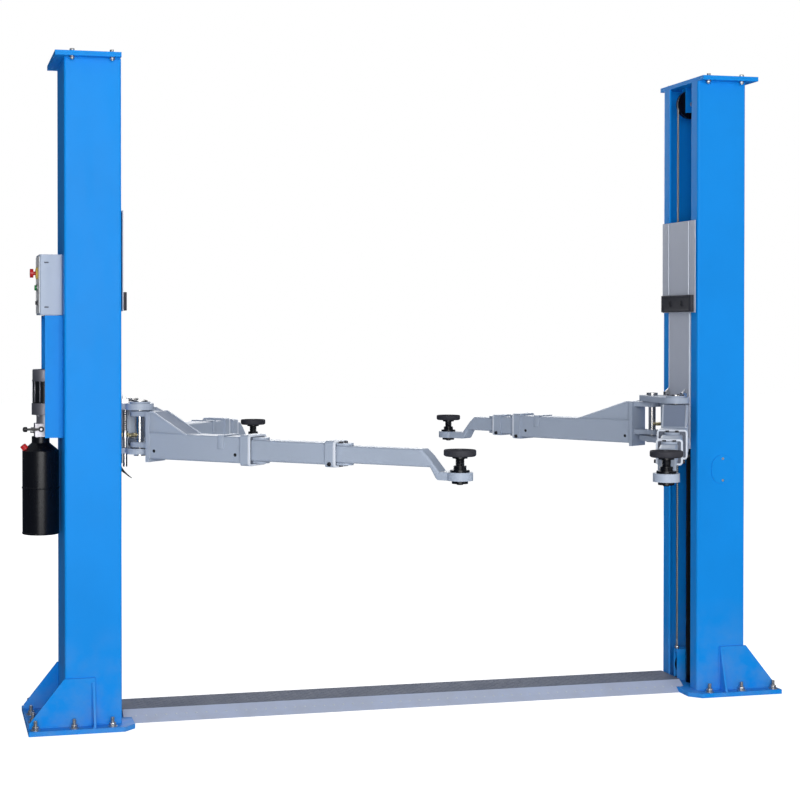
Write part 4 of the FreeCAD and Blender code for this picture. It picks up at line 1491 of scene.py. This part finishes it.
    def gear(self, name: str, radius: float, teeth: int, height: float) -> Piece:
        """Toothed wheel on the plane Z = 0.

        Args:
            name: Name of the piece.
            radius: Radius over the teeth.
            teeth: Number of teeth.
            height: Height of the wheel.

        Returns:
            The wheel.
        """
        piece = Bench.drum(name, radius - self.tooth, 0.0, height, 2 * teeth)
        step = math.pi / teeth
        Bench.on_faces(
            piece,
            lambda centre, normal: abs(normal.z) < 0.1
            and int(round(math.atan2(centre.y, centre.x) / step - 0.5)) % 2 == 0,
            inset(0.0, self.tooth, True),
        )
        return Bench.soften(piece, 0.5, 1)

    def sector(self, piece: Piece, middle: float, half: float) -> None:
        """Cuts a toothed wheel down to a sector.

        Args:
            piece: Wheel about the Z axis.
            middle: Direction of the sector's middle in radians.
            half: Half of its angle in radians.
        """
        for turn in (middle + half + math.pi / 2.0, middle - half - math.pi / 2.0):
            Bench.cut(piece, (0.0, 0.0, 0.0), (math.cos(turn), math.sin(turn), 0.0))

    def grip(self, side: float, row: float) -> Piece:
        """Curved tapering pull handle at the foot of a lock rod.

        Args:
            side: -1 for the left carriage and 1 for the right one.
            row: -1 for the front rod and 1 for the rear one.

        Returns:
            The handle.
        """
        piece = Bench.drum("grip", 3.4, 0.0, 3.0, 12)
        moves = (
            (5.0, -14.0, 1.2), (9.0, -14.0, 1.2), (12.0, -13.0, 1.0), (13.0, -11.0, 0.85), (11.0, -8.0, 0.6),
        )
        Bench.take(piece)
        steps: list[Step] = []
        for dx, dz, size in moves:
            step = {"value": (dx * MM, 0.0, dz * MM)}
            steps.append(lambda step=step: bpy.ops.mesh.extrude_region_move(TRANSFORM_OT_translate=step))
            steps.append(lambda size=size: bpy.ops.transform.resize(value=(size, size, 1.0)))
        Bench.on_faces(piece, lambda centre, normal: normal.z < -0.9, *steps)
        Bench.smooth(piece, 60.0)
        turn = 0.0 if side < 0.0 else 180.0
        return Bench.put(piece, at(side * (self.lock_x + 22.0), row * self.lock_y, self.grip_z, turn))


@dataclass
class PowerUnit:
    """Motor, pump, tank and control box on the left post."""

    shelf: Shelf
    fasteners: Fasteners
    motor_x: float = -1629.0
    tank_x: float = -1651.0
    unit_y: float = 10.0
    motor_top: float = 1516.0
    motor_low: float = 1372.0
    motor_radius: float = 56.0
    tank_radius: float = 78.0
    bead_z: float = 1010.0
    box_face: float = -1661.0
    box_low: float = 1749.0
    box_high: float = 2005.0
    box_half: float = 110.0
    pump_head_z: float = 1318.0
    flange_z: float = 1322.0
    flange_ring: float = 47.0
    valve_z: float = 1262.0
    breather_z: float = 1154.0
    stop_z: float = 1928.0
    raise_z: float = 1866.0
    switch_z: float = 1801.0

    def build(self) -> None:
        """Builds the dress of the power unit."""
        self.motor()
        self.tank()
        self.box()
        nodes = {
            "motor_bracket": "post_blue", "motor": "black_steel", "pump_block": "cast_metal",
            "oil_tank": "black_steel", "control_box": "box_grey", "stop_button": "red_plastic",
            "raise_button": "green_plastic", "lowering_lever": "black_plastic",
        }
        for node, finish in nodes.items():
            self.shelf.dress(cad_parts[node], finish)
        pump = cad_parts["pump_block"]
        self.shelf.dress_part(pump, "cast_dark", lambda centre: centre.z > self.pump_head_z)

    def motor(self) -> None:
        """Cast end cap, ribs and flange bolts of the motor."""
        r = self.motor_radius
        top = self.motor_top
        line = [(0.0, top + 1.0), (r - 4.0, top + 1.0), (r - 0.6, top - 0.5), (r + 0.6, top - 4.0)]
        line += [(r + 0.6, top - 44.0), (r + 2.4, top - 45.0), (r + 2.4, top - 50.0)]
        line += [(r - 8.0, top - 50.0), (0.0, top - 50.0)]
        self.fasteners.lathe("motor_cap", line, 56, at(self.motor_x, self.unit_y, 0.0), "cast_dark")
        corners = (r - 3.0, -2.2, self.motor_low + 4.0), (r + 1.6, 2.2, top - 50.0)
        rib = Bench.block("motor_rib_model", *corners)
        Bench.soften(rib, 0.7, 1)
        self.fasteners.keep(rib, "cast_metal")
        angles = (150.0, 180.0, 210.0, 240.0, 120.0, 270.0, 90.0)
        places = [at(self.motor_x, self.unit_y, 0.0, angle) for angle in angles]
        self.shelf.fix(Bench.spread("motor_ribs", rib, places), "cast_metal")
        bolt = self.fasteners.keep(self.fasteners.bolt_head("flange_bolt_model", 10.0, 5.0, 6.5), "zinc")
        places = []
        for angle in (45.0, 135.0, 225.0, 315.0):
            x = self.motor_x + self.flange_ring * math.cos(math.radians(angle))
            y = self.unit_y + self.flange_ring * math.sin(math.radians(angle))
            places.append(facing(x, y, self.flange_z, Axis.DOWN))
        self.shelf.fix(Bench.spread("flange_bolts", bolt, places), "zinc")
        plug_line = [(0.0, -1.0), (9.0, -1.0), (9.0, 4.0), (7.5, 5.0), (7.5, 16.0), (6.5, 17.0), (0.0, 17.0)]
        plug = self.fasteners.keep(Bench.turned("valve_plug_model", plug_line, 20), "zinc")
        places = [facing(self.motor_x - 48.0, self.unit_y - 18.0, self.valve_z, Axis.LEFT)]
        places.append(facing(self.motor_x - 48.0, self.unit_y + 20.0, 1250.0, Axis.LEFT))
        places.append(facing(self.motor_x + 14.0, self.unit_y - 48.0, 1238.0, Axis.FRONT))
        self.shelf.fix(Bench.spread("valve_plugs", plug, places), "zinc")
        knob_line = [(0.0, 0.0), (9.0, 0.0), (11.0, 2.0), (11.4, 9.0), (10.0, 16.0), (7.0, 18.0), (0.0, 18.0)]
        place = facing(self.motor_x - 82.0, self.unit_y - 54.5, self.valve_z, Axis.LEFT)
        self.fasteners.lathe("lever_knob", knob_line, 28, place, "black_plastic", "lowering_lever")

    def tank(self) -> None:
        """Rolled bead, bottom seam and breather cap of the tank."""
        r = self.tank_radius
        line = []
        for step in range(9):
            angle = -math.pi / 2.0 + math.pi * step / 8.0
            line.append((r - 0.6 + 3.0 * math.cos(angle), self.bead_z + 4.0 * math.sin(angle)))
        line += [(r - 4.0, self.bead_z + 4.0), (r - 4.0, self.bead_z - 4.0), line[0]]
        bead = Bench.turned("tank_bead", line, 64)
        foot = [(r - 6.0, 811.5), (r - 1.0, 811.0), (r + 1.4, 813.0), (r + 1.4, 819.0), (r - 1.0, 821.0)]
        foot += [(r - 6.0, 820.0), (r - 6.0, 811.5)]
        seam = Bench.turned("tank_seam", foot, 64)
        rims = Bench.join("tank_rims", [bead, seam])
        Bench.put(rims, at(self.tank_x, self.unit_y, 0.0))
        self.shelf.fix(rims, "black_steel")
        cap_line = [(0.0, 0.0), (8.0, 0.0), (8.0, 22.0), (14.0, 23.0), (14.0, 46.0)]
        cap_line += [(12.0, 49.0), (0.0, 50.0)]
        cap = Bench.turned("breather_cap", cap_line, 24)
        Bench.on_faces(
            cap,
            lambda centre, normal: abs(normal.z) < 0.3 and centre.z > 24.0,
            inset(0.5, -0.9, True),
        )
        Bench.smooth(cap, 30.0)
        self.shelf.fix(cap, "red_plastic")
        self.shelf.dress_part(cap, "black_steel", lambda centre: centre.z < 22.5)
        lean = Matrix.Rotation(math.radians(-38.0), 4, "Y")
        Bench.put(cap, at(self.tank_x - 47.0, self.unit_y - 12.0, self.breather_z) @ lean)

    def box(self) -> None:
        """Door, button collars, raise button's cap, main switch and hinges of the control box."""
        x = self.box_face
        y = self.unit_y
        door = Bench.block(
            "box_door", (x - 2.6, y - self.box_half + 7.0, self.box_low + 7.0),
            (x + 1.0, y + self.box_half - 7.0, self.box_high - 7.0),
        )
        Bench.on_edges(door, lambda centre, line: abs(line.x) > 0.9, bevel(7.0, 4))
        Bench.on_faces(
            door,
            lambda centre, normal: normal.x < -0.9,
            inset(5.0),
            inset(1.2, -0.8),
        )
        Bench.soften(door, 0.8, 2)
        self.shelf.fix(door, "door_white")
        ring = [(9.2, 2.0), (26.0, 2.0), (26.0, 4.0), (24.0, 9.0), (16.0, 11.0), (9.2, 11.0), (9.2, 2.0)]
        place = facing(x, y, self.stop_z, Axis.LEFT)
        self.fasteners.lathe("stop_collar", ring, 40, place, "yellow_plastic")
        ring = [(12.6, 2.0), (17.0, 2.0), (17.0, 5.0), (15.5, 6.5), (12.6, 6.5), (12.6, 2.0)]
        place = facing(x, y, self.raise_z, Axis.LEFT)
        self.fasteners.lathe("raise_bezel", ring, 40, place, "zinc")
        cap_line = [(0.0, 9.0), (11.8, 9.0), (11.8, 13.0), (10.6, 15.0), (0.0, 15.6)]
        self.fasteners.lathe("raise_cap", cap_line, 32, place, "green_plastic", "raise_button")
        key_line = [(0.0, 1.0), (11.0, 1.0), (11.0, 4.0), (9.5, 5.2), (5.5, 5.6), (5.5, 8.0), (0.0, 8.4)]
        key = Bench.turned("main_switch", key_line, 32)
        handle = Bench.block("main_switch_grip", (-2.0, -8.0, 7.0), (2.0, 8.0, 12.0))
        Bench.soften(handle, 1.0, 2)
        key = Bench.join("main_switch", [key, handle])
        Bench.put(key, facing(x, y, self.switch_z, Axis.LEFT))
        self.shelf.fix(key, "dark_steel")
        hinge = Bench.block("hinge_model", (-9.0, -1.4, -3.0), (9.0, 1.0, 3.0))
        Bench.soften(hinge, 0.9, 2)
        places = [at(-1633.0, y - self.box_half, z) for z in (1971.0, 1782.0)]
        hinges = Bench.spread("box_hinges", hinge, places)
        Bench.drop(hinge)
        self.shelf.fix(hinges, "shadow_grey")


@dataclass
class Studio:
    """Floor, light, background and camera."""

    shelf: Shelf
    eye: Point = (-2139.8, -7121.8, 1699.4)
    heading: float = 13.58
    tilt: float = -0.6
    lens: float = 73.91
    shift: tuple[float, float] = (0.100, -0.0702)

    def build(self) -> None:
        """Sets up the studio."""
        self.floor()
        self.world()
        self.lamp("front_light", (-1500.0, -7700.0, 2500.0), (0.0, 0.0, 1300.0), (5.0, 4.6), 385.0)
        self.lamp("side_light", (5200.0, -5200.0, 3000.0), (0.0, 0.0, 1200.0), (4.0, 4.0), 50.0)
        self.lamp("back_light", (1500.0, 6500.0, 3800.0), (0.0, 0.0, 1300.0), (5.0, 3.0), 220.0)
        self.camera()
        bpy.context.scene.view_settings.view_transform = "Standard"

    def floor(self) -> None:
        """Lays a wide pale floor."""
        Bench.clear()
        bpy.ops.mesh.primitive_plane_add(size=60.0, location=(0.0, 0.0, -0.0005))
        floor = Bench.settle("studio_floor")
        self.shelf.dress(floor, "studio_floor")

    def world(self) -> None:
        """Gives soft light from all round and a white background."""
        world = bpy.data.worlds.new("studio")
        bpy.context.scene.world = world
        world.use_nodes = True
        graph = Graph(world.node_tree)
        seen = graph.node("ShaderNodeLightPath", output="Is Camera Ray")
        seen = seen.most(graph.node("ShaderNodeLightPath", output="Is Transmission Ray"))
        height = graph.part(graph.node("ShaderNodeTexCoord", output="Generated"), "Z")
        dim = graph.blend(height.ramp(-0.1, 0.9), (0.52, 0.53, 0.54, 1.0), (0.34, 0.35, 0.37, 1.0))
        rear = graph.part(graph.node("ShaderNodeTexCoord", output="Generated"), "Y").ramp(0.25, 0.95)
        dim = graph.blend(rear, dim, (0.05, 0.08, 0.13, 1.0))
        east = graph.part(graph.node("ShaderNodeTexCoord", output="Generated"), "X")
        dim = graph.blend((0.0 - east).ramp(0.55, 0.98), dim, (0.22, 0.24, 0.28, 1.0))
        soft = graph.node("ShaderNodeBackground", None, {"Color": dim, "Strength": 0.80})
        white = graph.node("ShaderNodeBackground", None, {"Color": (1.0, 1.0, 1.0, 1.0), "Strength": 1.0})
        both = graph.node("ShaderNodeMixShader", None, {0: seen, 1: soft, 2: white})
        graph.node("ShaderNodeOutputWorld", None, {"Surface": both})

    def lamp(self, name: str, spot: Point, target: Point, size: tuple[float, float], power: float) -> None:
        """Adds one soft box.

        Args:
            name: Name of the lamp.
            spot: Where it stands, in millimetres.
            target: Where it points, in millimetres.
            size: Width and height in metres.
            power: Power in watts.
        """
        Bench.clear()
        bpy.ops.object.light_add(type="AREA", location=Vector(spot) * MM)
        lamp = bpy.context.object
        lamp.name = name
        lamp.data.shape = "RECTANGLE"
        lamp.data.size, lamp.data.size_y = size
        lamp.data.energy = power
        lamp.rotation_euler = (Vector(target) - Vector(spot)).to_track_quat("-Z", "Y").to_euler()

    def camera(self) -> None:
        """Places the camera where the photograph was taken from."""
        Bench.clear()
        turn = (math.radians(90.0 + self.tilt), 0.0, math.radians(-self.heading))
        bpy.ops.object.camera_add(location=Vector(self.eye) * MM, rotation=turn)
        camera = bpy.context.object
        camera.name = "photo_camera"
        camera.data.lens = self.lens
        camera.data.sensor_width = 36.0
        camera.data.shift_x, camera.data.shift_y = self.shift
        camera.data.clip_end = 200.0
        bpy.context.scene.camera = camera


def main() -> None:
    """Builds the dress of the lift, one sub-assembly after the other."""
    logging.basicConfig(level=logging.INFO, format="%(name)s: %(message)s")
    shelf = Shelf()
    fasteners = Fasteners(shelf)
    studio = Studio(shelf)
    works = (
        studio,
        Posts(shelf, fasteners),
        RopeGear(shelf, fasteners),
        FloorCover(shelf),
        Arms(shelf, fasteners),
        Carriages(shelf, fasteners),
        PowerUnit(shelf, fasteners),
    )
    for work in works:
        work.build()
        log.info("%s done", type(work).__name__)
    fasteners.away()
    Bench.clear()


if __name__ == "__main__":
    main()
